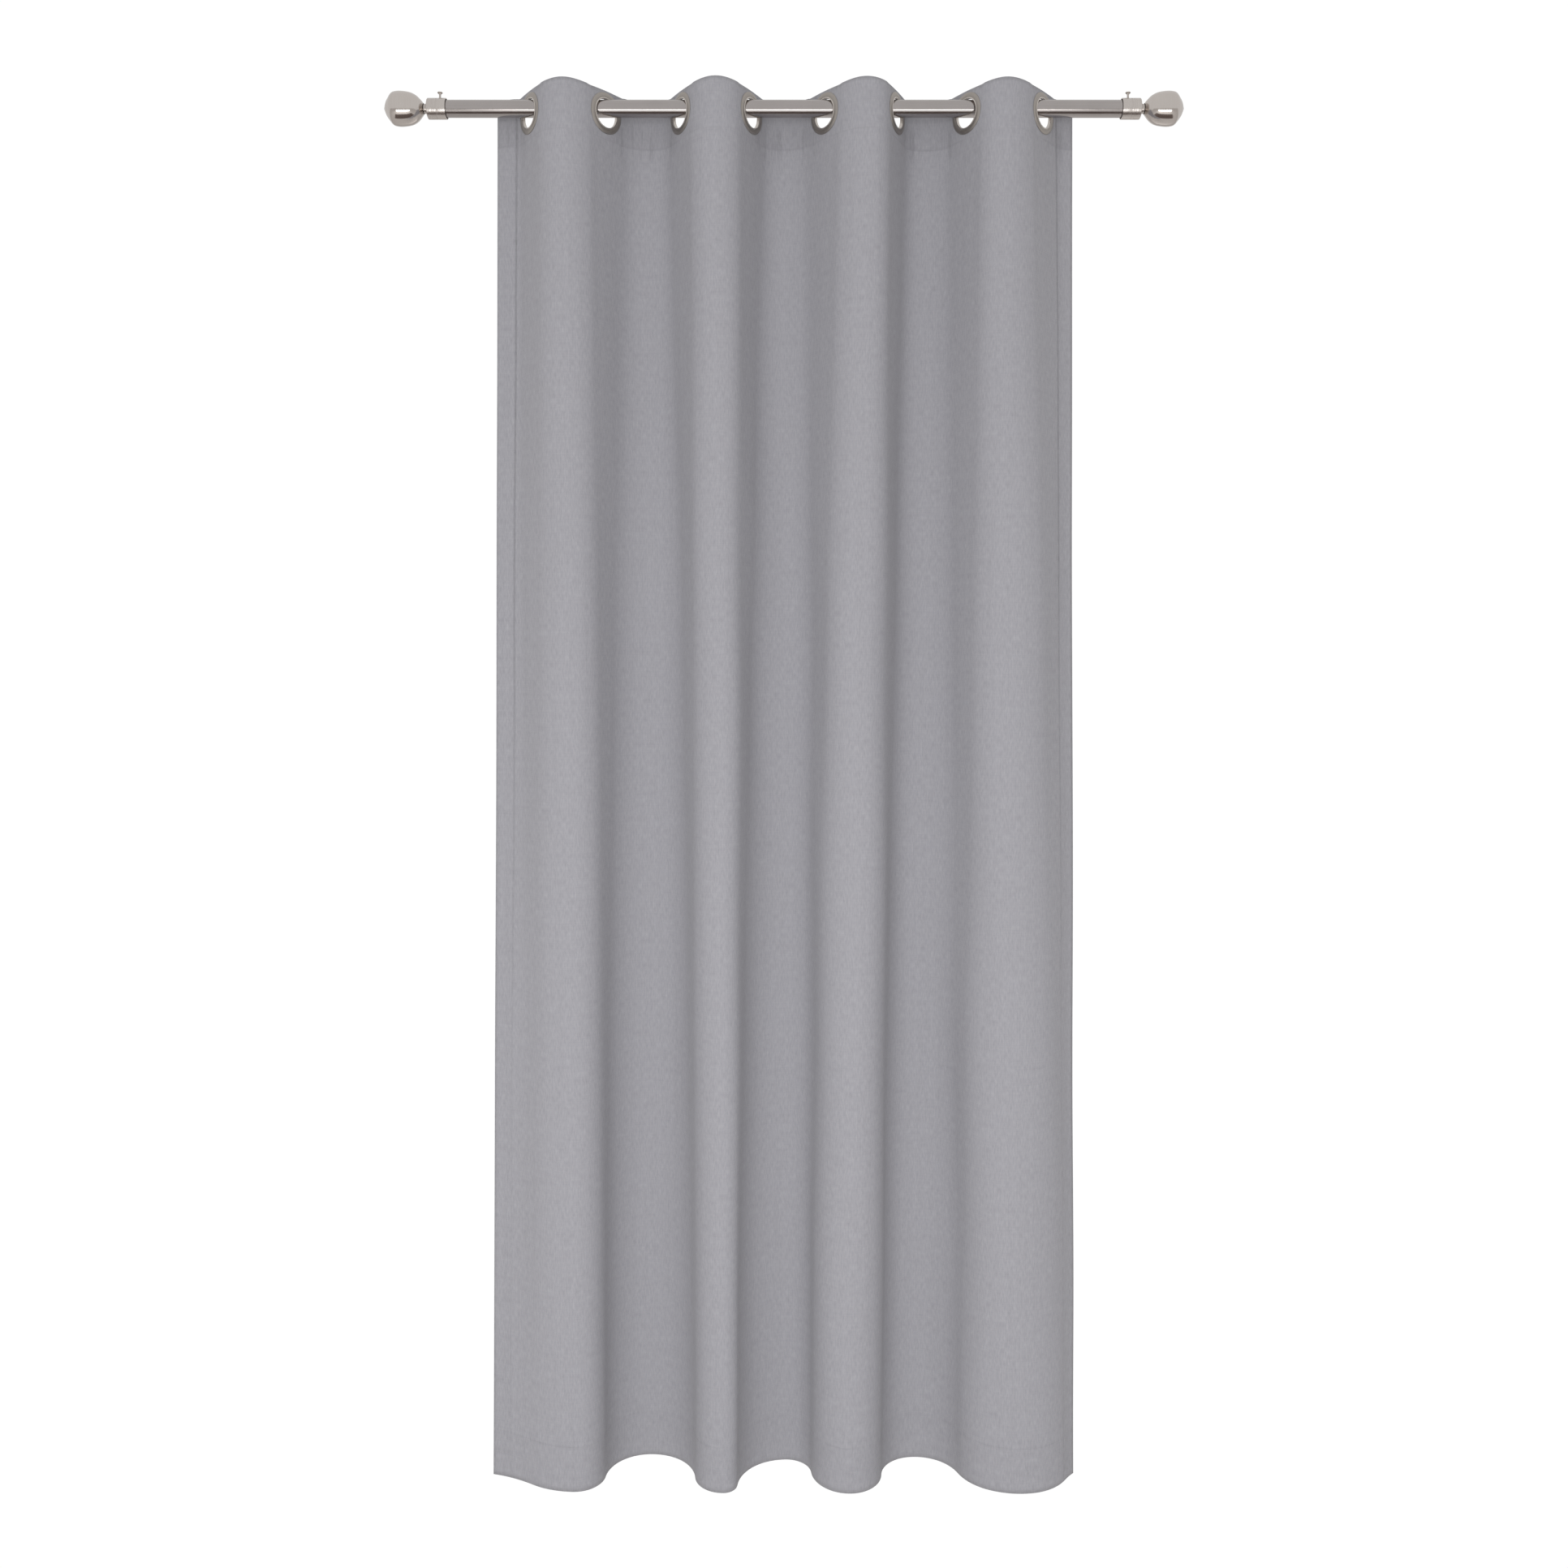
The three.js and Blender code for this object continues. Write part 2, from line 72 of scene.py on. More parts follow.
FRAME_WIDTH = 2.7686
LENS_SHIFT = -0.0766
SENSOR = 0.036

camera_data = bpy.data.cameras.new("camera")
camera_data.sensor_width = SENSOR * 1000
camera_data.lens = SENSOR * 1000 * EYE_DISTANCE / FRAME_WIDTH
camera_data.shift_y = LENS_SHIFT
camera = bpy.data.objects.new("camera", camera_data)
camera.location = (0, -EYE_DISTANCE, EYE_HEIGHT)
camera.rotation_euler = (math.pi / 2, 0, 0)
bpy.context.scene.collection.objects.link(camera)
bpy.context.scene.camera = camera

# ---------------------------------------------------------------------------------------------
# Pole: a hollow stainless tube, 30 mm across with a wall of 1.2 mm, drawn and then brushed along
# its length. Both ends are cut square with the edge just broken, and sit inside the collars.
POLE_WALL = 0.0012
TUBE_SIDES = 128


def cad_points(node):
    """The corners of a CAD node as an array of points, one row each."""
    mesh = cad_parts[node].data
    points = np.empty(len(mesh.vertices) * 3)
    mesh.vertices.foreach_get("co", points)
    return points.reshape(-1, 3)


def mesh_piece(name, points, faces, sharp=35):
    """A smooth-shaded mesh piece from points and faces, doubles merged and normals outwards.
    An edge that turns by more than the sharp angle, in degrees, stays crisp."""
    mesh = bpy.data.meshes.new(name)
    mesh.from_pydata(points.tolist(), [], faces.tolist())
    work = bmesh.new()
    work.from_mesh(mesh)
    bmesh.ops.remove_doubles(work, verts=work.verts, dist=2e-6)
    bmesh.ops.dissolve_degenerate(work, dist=1e-6, edges=work.edges)
    bmesh.ops.recalc_face_normals(work, faces=work.faces)
    work.to_mesh(mesh)
    work.free()
    mesh.shade_smooth()
    mesh.set_sharp_from_angle(angle=math.radians(sharp))
    piece = bpy.data.objects.new(name, mesh)
    bpy.context.scene.collection.objects.link(piece)
    return piece


def eased(corners, steps=4):
    """An outline with its corners rounded. Each corner is (radius, along, ease): two arms of that
    length run back from the corner and a quadratic curve joins their ends, so the corner itself
    is the curve's control point. An ease of nothing keeps the corner sharp."""
    corners = np.array(corners, float)
    points = []
    for before, here, after in zip(np.roll(corners, 1, 0), corners, np.roll(corners, -1, 0)):
        start, corner, end = before[:2] - here[:2], here[:2], after[:2] - here[:2]
        if here[2] == 0:
            points.append(corner[None])
            continue
        first = corner + start / np.linalg.norm(start) * here[2]
        last = corner + end / np.linalg.norm(end) * here[2]
        t = np.linspace(0, 1, steps + 1)[:, None]
        points.append((1 - t) ** 2 * first + 2 * t * (1 - t) * corner + t**2 * last)
    return np.concatenate(points)


def turned(name, outline, sides, base, along, across):
    """A solid of revolution. The outline is a closed loop of (radius, height) points. A point at
    angle a is base + height * along + radius * (cos a * across + sin a * third direction)."""
    along, across = np.array(along, float), np.array(across, float)
    third = np.cross(along, across)
    angle = np.arange(sides) * 2 * math.pi / sides
    ring = np.cos(angle)[:, None, None] * across + np.sin(angle)[:, None, None] * third
    points = np.array(base) + outline[None, :, 1:] * along + outline[None, :, :1] * ring
    count = len(outline)
    side, step = np.meshgrid(np.arange(sides), np.arange(count), indexing="ij")
    next_side, next_step = (side + 1) % sides, (step + 1) % count
    corners = (side * count + step, next_side * count + step)
    corners += (next_side * count + next_step, side * count + next_step)
    faces = np.stack(corners, -1).reshape(-1, 4)
    return mesh_piece(name, points.reshape(-1, 3), faces)


def material(name):
    """A new material, with its node tree, its Principled shader and its output."""
    made = bpy.data.materials.new(name)
    made.use_nodes = True
    return made, made.node_tree, made.node_tree.nodes["Principled BSDF"]


def node(tree, kind, **settings):
    """A new node of a kind, with its settings made."""
    made = tree.nodes.new(kind)
    for key, value in settings.items():
        setattr(made, key, value)
    return made


def brushed_grain():
    """Node group for brushed or turned metal. Lines: a noise squeezed hard across the brushing, so
    it runs as fine parallel hairs. Smudge: a broad soft noise, as handling leaves. Both come out
    as a roughness, a colour and a height that vary over the surface."""
    group = bpy.data.node_groups.new("brushed_grain", "ShaderNodeTree")
    face = group.interface
    for label, kind in (("Lines", "NodeSocketVector"), ("Place", "NodeSocketVector")):
        face.new_socket(label, in_out="INPUT", socket_type=kind)
    for label in ("Dark", "Light"):
        face.new_socket(label, in_out="INPUT", socket_type="NodeSocketColor")
    for label in ("Smooth", "Rough"):
        face.new_socket(label, in_out="INPUT", socket_type="NodeSocketFloat")
    face.new_socket("Color", in_out="OUTPUT", socket_type="NodeSocketColor")
    face.new_socket("Roughness", in_out="OUTPUT", socket_type="NodeSocketFloat")
    face.new_socket("Height", in_out="OUTPUT", socket_type="NodeSocketFloat")
    inputs = node(group, "NodeGroupInput")
    outputs = node(group, "NodeGroupOutput")
    hairs = node(group, "ShaderNodeTexNoise")
    hairs.inputs["Scale"].default_value = 1
    hairs.inputs["Detail"].default_value = 4
    smudge = node(group, "ShaderNodeTexNoise")
    smudge.inputs["Scale"].default_value = 35
    smudge.inputs["Detail"].default_value = 3
    blend = node(group, "ShaderNodeMix")
    blend.inputs["Factor"].default_value = 0.35
    tint = node(group, "ShaderNodeMix", data_type="RGBA")
    spread = node(group, "ShaderNodeMapRange")
    spread.inputs["From Min"].default_value = 0.3
    spread.inputs["From Max"].default_value = 0.7
    link = group.links.new
    link(inputs.outputs["Lines"], hairs.inputs["Vector"])
    link(inputs.outputs["Place"], smudge.inputs["Vector"])
    link(hairs.outputs["Fac"], blend.inputs["A"])
    link(smudge.outputs["Fac"], blend.inputs["B"])
    link(blend.outputs["Result"], spread.inputs["Value"])
    link(inputs.outputs["Smooth"], spread.inputs["To Min"])
    link(inputs.outputs["Rough"], spread.inputs["To Max"])
    link(blend.outputs["Result"], tint.inputs["Factor"])
    link(inputs.outputs["Dark"], tint.inputs["A"])
    link(inputs.outputs["Light"], tint.inputs["B"])
    link(tint.outputs["Result"], outputs.inputs["Color"])
    link(spread.outputs["Result"], outputs.inputs["Roughness"])
    link(hairs.outputs["Fac"], outputs.inputs["Height"])
    return group


GRAIN = brushed_grain()


def metal(name, squeeze, dark, light, smooth, rough, bump):
    """A metal finish on Object coordinates. Squeeze gives the hairs' fineness along X, Y and Z."""
    made, tree, shader = material(name)
    place = node(tree, "ShaderNodeTexCoord")
    lines = node(tree, "ShaderNodeMapping")
    lines.inputs["Scale"].default_value = squeeze
    grain = node(tree, "ShaderNodeGroup", node_tree=GRAIN)
    grain.inputs["Dark"].default_value = (*dark, 1)
    grain.inputs["Light"].default_value = (*light, 1)
    grain.inputs["Smooth"].default_value = smooth
    grain.inputs["Rough"].default_value = rough
    relief = node(tree, "ShaderNodeBump")
    relief.inputs["Strength"].default_value = bump
    relief.inputs["Distance"].default_value = 0.00005
    link = tree.links.new
    link(place.outputs["Object"], lines.inputs["Vector"])
    link(lines.outputs["Vector"], grain.inputs["Lines"])
    link(place.outputs["Object"], grain.inputs["Place"])
    link(grain.outputs["Color"], shader.inputs["Base Color"])
    link(grain.outputs["Roughness"], shader.inputs["Roughness"])
    link(grain.outputs["Height"], relief.inputs["Height"])
    link(relief.outputs["Normal"], shader.inputs["Normal"])
    shader.inputs["Metallic"].default_value = 1
    return made


pole_points = cad_points("pole_tube")
POLE_END = pole_points[:, 0].max()
POLE_RADIUS = np.hypot(pole_points[:, 1], pole_points[:, 2]).max()
POLE_BORE = POLE_RADIUS - POLE_WALL
pole_outline = eased(
    [
        (POLE_BORE, -POLE_END, 0.0002),
        (POLE_RADIUS, -POLE_END, 0.0004),
        (POLE_RADIUS, POLE_END, 0.0004),
        (POLE_BORE, POLE_END, 0.0002),
    ]
)
pole = turned("pole", pole_outline, TUBE_SIDES, (0, 0, 0), (1, 0, 0), (0, 1, 0))
pole_steel = metal(
    "pole_steel", (6, 1500, 1500), (0.40, 0.375, 0.365), (0.52, 0.49, 0.48), 0.12, 0.20, 0.04
)
pole.data.materials.append(pole_steel)
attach(pole, "pole")
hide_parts("pole_tube")

# ---------------------------------------------------------------------------------------------
# Collars: turned steel cups that slide over the pole's ends. The open rim stands clear of the
# tube all round, and three fine turned lines and a deeper groove go round the outside.
SIDES = {"left": -1, "right": 1}
COLLAR_WALL = 0.0015
COLLAR_END_WALL = 0.005
COLLAR_EASE = 0.0014
COLLAR_SIDES = 96
SPIGOT_HOLE = 0.0053
GROOVE_AT = 0.0155
GROOVE = (0.0012, 0.0006)
FINE_LINE = (0.0004, 0.00025)
FINE_LINES_AT = (0.0205, 0.0236, 0.0302)

collar_steel = metal(
    "collar_steel", (2600, 12, 12), (0.58, 0.54, 0.51), (0.70, 0.66, 0.63), 0.18, 0.30, 0.06
)


def ring_cut(radius, start, width, depth):
    """The four corners of a square groove cut into a turned face, from its start outwards."""
    ease = min(width, depth) * 0.3
    return [
        (radius, start, ease),
        (radius - depth, start, ease * 0.5),
        (radius - depth, start + width, ease * 0.5),
        (radius, start + width, ease),
    ]


for side, sign in SIDES.items():
    collar_points = cad_points(f"collar_{side}")
    rim = np.abs(collar_points[:, 0]).min()
    length = np.abs(collar_points[:, 0]).max() - rim
    radius = np.hypot(collar_points[:, 1], collar_points[:, 2]).max()
    floor = length - COLLAR_END_WALL
    cuts = ring_cut(radius, GROOVE_AT, *GROOVE)
    for at in FINE_LINES_AT:
        cuts += ring_cut(radius, at, *FINE_LINE)
    outline = eased(
        [
            (SPIGOT_HOLE, length, 0.0002),
            (SPIGOT_HOLE, floor, 0.0002),
            (radius - COLLAR_WALL, floor, 0.0004),
            (radius - COLLAR_WALL, 0, 0.0003),
            (radius, 0, 0.0004),
            *cuts,
            (radius, length, COLLAR_EASE),
        ]
    )
    start = (sign * rim, 0, 0)
    collar = turned(f"{side}_collar", outline, COLLAR_SIDES, start, (sign, 0, 0), (0, 1, 0))
    collar.data.materials.append(collar_steel)
    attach(collar, f"finial_{side}")
    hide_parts(f"collar_{side}")

# ---------------------------------------------------------------------------------------------
# Thumb screws: a plain shank with a dished round head, one through the top of each collar. It
# bears on the pole, and two turns let the finial slide off.
SHANK_RADIUS = 0.0018
HEAD_STEM = 0.0026
DISH = 0.0009
SCREW_SIDES = 48

screw_steel = metal(
    "screw_steel", (900, 900, 2500), (0.50, 0.46, 0.43), (0.62, 0.58, 0.55), 0.20, 0.34, 0.06
)

for side, sign in SIDES.items():
    low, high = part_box(f"thumb_screw_{side}")
    foot = (low.x / 2 + high.x / 2, 0, low.z)
    tall = high.z - low.z
    head = (high.x - low.x) / 2
    outline = eased(
        [
            (0, 0, 0),
            (SHANK_RADIUS * 0.6, 0, 0.0001),
            (SHANK_RADIUS, 0.0009, 0.0003),
            (SHANK_RADIUS, tall - 0.0042, 0.0008),
            (HEAD_STEM, tall - 0.0026, 0.0005),
            (head, tall - 0.0014, 0.0005),
            (head, tall, 0.0004),
            (head - 0.0009, tall, 0.0004),
            (HEAD_STEM * 0.6, tall - DISH, 0.0008),
            (0, tall - DISH, 0),
        ]
    )
    screw = turned(f"{side}_thumb_screw", outline, SCREW_SIDES, foot, (0, 0, 1), (1, 0, 0))
    screw.data.materials.append(screw_steel)
    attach(screw, f"thumb_screw_{side}")
    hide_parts(f"thumb_screw_{side}")

# ---------------------------------------------------------------------------------------------
# Stems: one turned steel piece in each finial. The neck shows between the collar and the bulb and
# has a waist where it enters the bulb's mouth, a stud holds the bulb, and a riveted head inside
# the collar holds the whole on.
NECK_SHOWING = 0.0075
WAIST = 0.0012
STUD_RADIUS = 0.003
SPIGOT_RADIUS = 0.005
RIVET = (0.009, 0.003)
PLAY = 0.0003
STEM_SIDES = 64

stem_steel = metal(
    "stem_steel", (2600, 20, 20), (0.48, 0.44, 0.41), (0.60, 0.56, 0.53), 0.18, 0.32, 0.06
)

for side, sign in SIDES.items():
    stem_points = cad_points(f"finial_stem_{side}")
    stem_start = np.abs(stem_points[:, 0]).min()
    stem_end = np.abs(stem_points[:, 0]).max() - stem_start
    collar_end = np.abs(cad_points(f"collar_{side}")[:, 0]).max() - stem_start + PLAY
    neck = np.hypot(stem_points[:, 1], stem_points[:, 2])
    neck = neck[np.abs(stem_points[:, 0]) > stem_start + collar_end - PLAY].max()
    mouth = collar_end + NECK_SHOWING
    outline = eased(
        [
            (0, 0, 0),
            (RIVET[0], 0, 0.0012),
            (RIVET[0], RIVET[1], 0.0003),
            (SPIGOT_RADIUS, RIVET[1], 0.0002),
            (SPIGOT_RADIUS, collar_end, 0.0002),
            (neck, collar_end, 0.0006),
            (neck, mouth - 0.0010, 0.0004),
            (neck - WAIST, mouth + 0.0002, 0.0004),
            (neck - WAIST, mouth + 0.0028, 0.0006),
            (neck, mouth + 0.0042, 0.0005),
            (neck, mouth + 0.006, 0.0004),
            (STUD_RADIUS, mouth + 0.006, 0.0003),
            (STUD_RADIUS, stem_end, 0.0004),
            (0, stem_end, 0),
        ]
    )
    start = (sign * stem_start, 0, 0)
    stem = turned(f"{side}_stem", outline, STEM_SIDES, start, (sign, 0, 0), (0, 1, 0))
    stem.data.materials.append(stem_steel)
    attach(stem, f"finial_{side}")
    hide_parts(f"finial_stem_{side}")

# ---------------------------------------------------------------------------------------------
# Bulbs: hollow spun steel shells, polished. A shallow cone at the front ends in a soft edge, the
# belly is nearly round, and the back draws in to an open mouth around the stem's neck.
BULB_WALL = 0.0013
MOUTH_PLAY = 0.0008
BOSS = (0.007, 0.016)
CONE_SHARE = 11 / 70
CONE_RADIUS_SHARE = 21.5 / 29.9
BULB_SIDES = 128

bulb_steel = metal(
    "bulb_steel", (900, 14, 14), (0.60, 0.555, 0.52), (0.69, 0.65, 0.62), 0.09, 0.16, 0.02
)


def smooth_through(knots, steps):
    """A Catmull-Rom curve through the knots: each stretch is a cubic whose slope at a knot is half
    the step between that knot's neighbours."""
    knots = np.array(knots, float)
    around = np.vstack([2 * knots[0] - knots[1], knots, 2 * knots[-1] - knots[-2]])
    t = np.linspace(0, 1, steps, endpoint=False)[:, None, None]
    a, b, c, d = around[:-3], around[1:-2], around[2:-1], around[3:]
    curve = 2 * b + (c - a) * t + (2 * a - 5 * b + 4 * c - d) * t**2
    curve = (curve + (3 * b - a - 3 * c + d) * t**3) / 2
    return np.vstack([curve.transpose(1, 0, 2).reshape(-1, 2), knots[-1:]])


for side, sign in SIDES.items():
    bulb_points = cad_points(f"finial_bulb_{side}")
    mouth_x = np.abs(bulb_points[:, 0]).min()
    length = np.abs(bulb_points[:, 0]).max() - mouth_x
    belly = np.hypot(bulb_points[:, 1], bulb_points[:, 2]).max()
    mouth_radius = neck + MOUTH_PLAY + 0.0006
    soft_edge = (belly * CONE_RADIUS_SHARE, length * (1 - CONE_SHARE))
    outer = smooth_through(
        [
            (mouth_radius, 0),
            (belly * 0.56, length * 0.085),
            (belly * 0.765, length * 0.18),
            (belly * 0.93, length * 0.33),
            (belly, length * 0.56),
            (belly * 0.965, length * 0.72),
            (belly * 0.87, length * 0.79),
            soft_edge,
        ],
        9,
    )
    cone = np.array([soft_edge, (belly * 0.44, length * 0.925), (belly * 0.02, length * 0.998)])
    cone = np.vstack([smooth_through(cone, 8)[1:], [(0, length)]])
    inner = outer[:-6] - (BULB_WALL, 0)
    inner[0, 0] = neck + MOUTH_PLAY
    boss_face = length * (1 - CONE_SHARE) - BOSS[1]
    hollow_floor = inner[-1, 1]
    bore = STUD_RADIUS + PLAY
    boss = [(0, boss_face + BOSS[1]), (bore, boss_face + BOSS[1]), (bore, boss_face)]
    boss += [(BOSS[0], boss_face), (BOSS[0], hollow_floor)]
    outline = np.vstack([outer, cone, boss, inner[::-1]])
    start = (sign * mouth_x, 0, 0)
    bulb = turned(f"{side}_bulb", outline, BULB_SIDES, start, (sign, 0, 0), (0, 1, 0))
    bulb.data.materials.append(bulb_steel)
    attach(bulb, f"finial_{side}")
    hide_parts(f"finial_bulb_{side}")

# ---------------------------------------------------------------------------------------------
# Panel: one width of matt grey cloth, 1.40 m by 2.45 m once hemmed, gathered on the pole. Each
# flank of a fold runs straight through one eyelet and bends evenly to the crests beside it.
# Towards the hem the folds drift and deepen, as the cloth relaxes.
FLAT_WIDTH = 1.400
FLAT_LENGTH = 2.450
HUNG_WIDTH = 1.031
HEM_WIDTH = 1.027
OFF_CENTRE = 0.003
HEM_OFF_CENTRE = -0.0006
FABRIC = 0.0006
HEADING = 0.092
SIDE_HEM = 0.036
BOTTOM_HEM = 0.080
EDGE_TO_EYELET = 0.080
EYELET_COUNT = 8
EYELET_PLAY = 0.010
EYELET_FLANGE = 0.011
HOLE_PLAY = 0.0021
EYELET_RADIUS = POLE_RADIUS + EYELET_PLAY + EYELET_FLANGE
HOLE_RADIUS = POLE_RADIUS + EYELET_PLAY + HOLE_PLAY
HOLE_CELL = 0.028
HOLE_BLEND = 0.018
TOP_ANGLES = np.radians([56, 52, 59, 62, 52, 66, 56, 52])
HEM_ANGLES = np.radians([33, 86, 82, 86, 86, 86, 66, 51])
STEEPEST = math.radians(86)
FLANK_DRIFT = np.array([3, -23, 35, -33, -15, -4, 6, 53]) / 1000
CREST_DRIFT = np.array([-42, 3, 20, 8, -4, 5, 48]) / 1000
TOP_RUNS = (0.009, 0.044)
HEM_RUNS = (0.130, 0.138)
LAYER_OFFSET = 0.00105
PLAN_ROWS = 241
FINE_TO = 0.17
EDGE_DROOP = 0.0042
EDGE_FADE = 0.040
PEAK_REACH = 0.050
CORNER_DROOP = (0.005, 0.003)
CORNER_REACH = EDGE_TO_EYELET - 0.022
CORNER_FADE = 0.16

PITCH = (FLAT_WIDTH - 2 * EDGE_TO_EYELET) / (EYELET_COUNT - 1)
EYELET_AT = EDGE_TO_EYELET + PITCH * np.arange(EYELET_COUNT)
panel_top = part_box("fabric_panel")[1].z
ring_low, ring_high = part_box("eyelet_1_front")
hang_height = (ring_low.z + ring_high.z) / 2
fine = np.linspace(0, FLAT_WIDTH, 701)


def fold_directions(stations, drop, scale):
    """The cloth's direction in plan, in radians from X, by rows of drop and by station across its
    width. On each flank it is the flank's angle over the straight stretch through the eyelet and
    falls evenly to nothing at the crests. The crests are placed so that the flanks' depths
    cancel, and the sign turns over from one flank to the next."""
    drop, scale = drop[:, None], scale[:, None]
    angle = np.minimum((TOP_ANGLES + (HEM_ANGLES - TOP_ANGLES) * drop) * scale, STEEPEST)
    straight = EYELET_RADIUS * (1 - drop)
    depth = (1 - np.cos(angle)) / angle
    tilt = straight * (np.sin(angle[:, 1:]) - np.sin(angle[:, :-1]))
    share = (tilt + (PITCH - 2 * straight) * depth[:, 1:]) / (depth[:, :-1] + depth[:, 1:])
    crests = EYELET_AT[:-1] + straight + share + CREST_DRIFT * drop
    middles = EYELET_AT + FLANK_DRIFT * drop
    first = middles[:, :1] - straight - (TOP_RUNS[0] + (HEM_RUNS[0] - TOP_RUNS[0]) * drop)
    last = middles[:, -1:] + straight + (TOP_RUNS[1] + (HEM_RUNS[1] - TOP_RUNS[1]) * drop)
    ends = np.hstack([first, crests, last])
    flank = (stations[None, None, :] > crests[:, :, None]).sum(1)
    middle = np.take_along_axis(middles, flank, 1)
    before, after = (np.take_along_axis(ends, flank + k, 1) for k in (0, 1))
    reach = np.where(stations < middle, middle - before, after - middle)
    bent = np.clip((np.abs(stations - middle) - straight) / (reach - straight), 0, 1)
    side = np.where(flank % 2 == 0, -1, 1)
    return side * np.take_along_axis(angle, flank, 1) * (1 - bent)


def fold_plan(drop):
    """X, Y and direction of the folds at even stations, one row for each drop. X and Y are the
    running sums of the direction's cosine and sine. The angles' scale is halved in on until the
    width is the hung width. Y is measured from the eyelets at the top, from the mean lower down."""
    middles = (fine[1:] + fine[:-1]) / 2
    step = fine[1]
    width = HUNG_WIDTH + (HEM_WIDTH - HUNG_WIDTH) * drop
    start = OFF_CENTRE + (HEM_OFF_CENTRE - OFF_CENTRE) * drop - width / 2
    low, high = np.full(len(drop), 0.3), np.full(len(drop), 2.0)
    for _ in range(32):
        scale = (low + high) / 2
        wide = np.cos(fold_directions(middles, drop, scale)).sum(1) * step > width
        low, high = np.where(wide, scale, low), np.where(wide, high, scale)
    along = fold_directions(middles, drop, low)
    zero = np.zeros((len(drop), 1))
    x = np.hstack([zero, np.cumsum(np.cos(along), 1) * step]) + start[:, None]
    y = np.hstack([zero, np.cumsum(np.sin(along), 1) * step])
    at_eyelets = np.stack([np.interp(EYELET_AT, fine, row) for row in y]).mean(1)
    y -= (at_eyelets * (1 - drop) + y.mean(1) * drop)[:, None]
    return x, y, fold_directions(fine, drop, low)


PLAN = fold_plan(np.linspace(0, 1, PLAN_ROWS))


def between(grid, row, column):
    """A grid's value at fractional rows and columns, straight between its four neighbours."""
    row, column = np.clip(row, 0, grid.shape[0] - 1.001), np.clip(column, 0, grid.shape[1] - 1.001)
    top, left = row.astype(int), column.astype(int)
    lower, further = row - top, column - left
    upper_value = grid[top, left] * (1 - further) + grid[top, left + 1] * further
    lower_value = grid[top + 1, left] * (1 - further) + grid[top + 1, left + 1] * further
    return upper_value * (1 - lower) + lower_value * lower


def droop(stations, down):
    """How far the heading's free edge sinks. It sinks evenly, but for the front crests, which
    stand up as soft peaks, each a squared cosine about its middle. This fades to nothing beside
    the eyelets' holes. The two corners hang lower still, by a square that grows from near the
    outermost eyelet to the edge and fades out below the heading."""
    peaks, corners = np.zeros_like(stations), np.zeros_like(stations)
    for i in range(0, EYELET_COUNT - 1, 2):
        off = (stations - (EYELET_AT[i] + EYELET_AT[i + 1]) / 2) / PEAK_REACH
        peaks += np.cos(np.clip(off, -1, 1) * math.pi / 2) ** 2
    for depth, from_edge in zip(CORNER_DROOP, (stations, FLAT_WIDTH - stations)):
        corners += depth * np.clip(1 - from_edge / CORNER_REACH, 0, 1) ** 2
    edge = EDGE_DROOP * (1 - peaks) * np.clip(1 - down / EDGE_FADE, 0, 1)
    return edge + corners * np.clip(1 - down / CORNER_FADE, 0, 1)


def relief(stations, down):
    """How far the cloth stands off its folds, towards the back: slow uneven waves, each a product
    of two sines, that grow from nothing at the heading to full size a third of the way down, and
    long faint drag lines that run down from each eyelet and fade."""
    rng = np.random.default_rng(11)
    waves = np.zeros_like(stations)
    for _ in range(9):
        across, along = rng.uniform(0.12, 0.42), rng.uniform(0.5, 1.7)
        phase, slant, size = rng.uniform(0, 6.28, 2), rng.uniform(-0.12, 0.12), rng.uniform(0.3, 1)
        bend = np.sin((stations + slant * down) * 2 * math.pi / across + phase[0])
        waves += size * bend * np.sin(down * 2 * math.pi / along + phase[1])
    grown = np.clip((down - HEADING) / 0.7, 0, 1) ** 1.5
    drags = np.zeros_like(stations)
    for i, at in enumerate(EYELET_AT):
        lean = at + (down - HEADING) * FLANK_DRIFT[i] / FLAT_LENGTH
        for shift, width in ((-0.037, 0.008), (0.038, 0.009)):
            drags += np.exp(-(((stations - lean - shift) / width) ** 2))
    fall = np.clip((down - 0.075) / 0.05, 0, 1) * np.exp(-((down - HEADING) / 0.35))
    return 0.0007 * waves * grown - 0.0007 * drags * fall


def cloth_points(stations, down, offset):
    """Points of a layer of the cloth from its stations across and distances down, both as grids.
    A point is the fold's place at that station, moved along the fold's normal by the offset."""
    row = np.clip((down - HEADING) / (FLAT_LENGTH - HEADING), 0, 1) * (PLAN_ROWS - 1)
    x, y, turn = (between(grid, row, stations / fine[1]) for grid in PLAN)
    off = offset + relief(stations, down)
    x, y = x - np.sin(turn) * off, y + np.cos(turn) * off
    return np.stack([x, y, panel_top - down - droop(stations, down)], -1)


def spaced(marks, steps):
    """Values from mark to mark, evenly spaced, with about the given step on each stretch."""
    parts = [
        np.linspace(a, b, max(1, round((b - a) / step)) + 1)[:-1]
        for a, b, step in zip(marks[:-1], marks[1:], steps)
    ]
    return np.append(np.concatenate(parts), marks[-1])


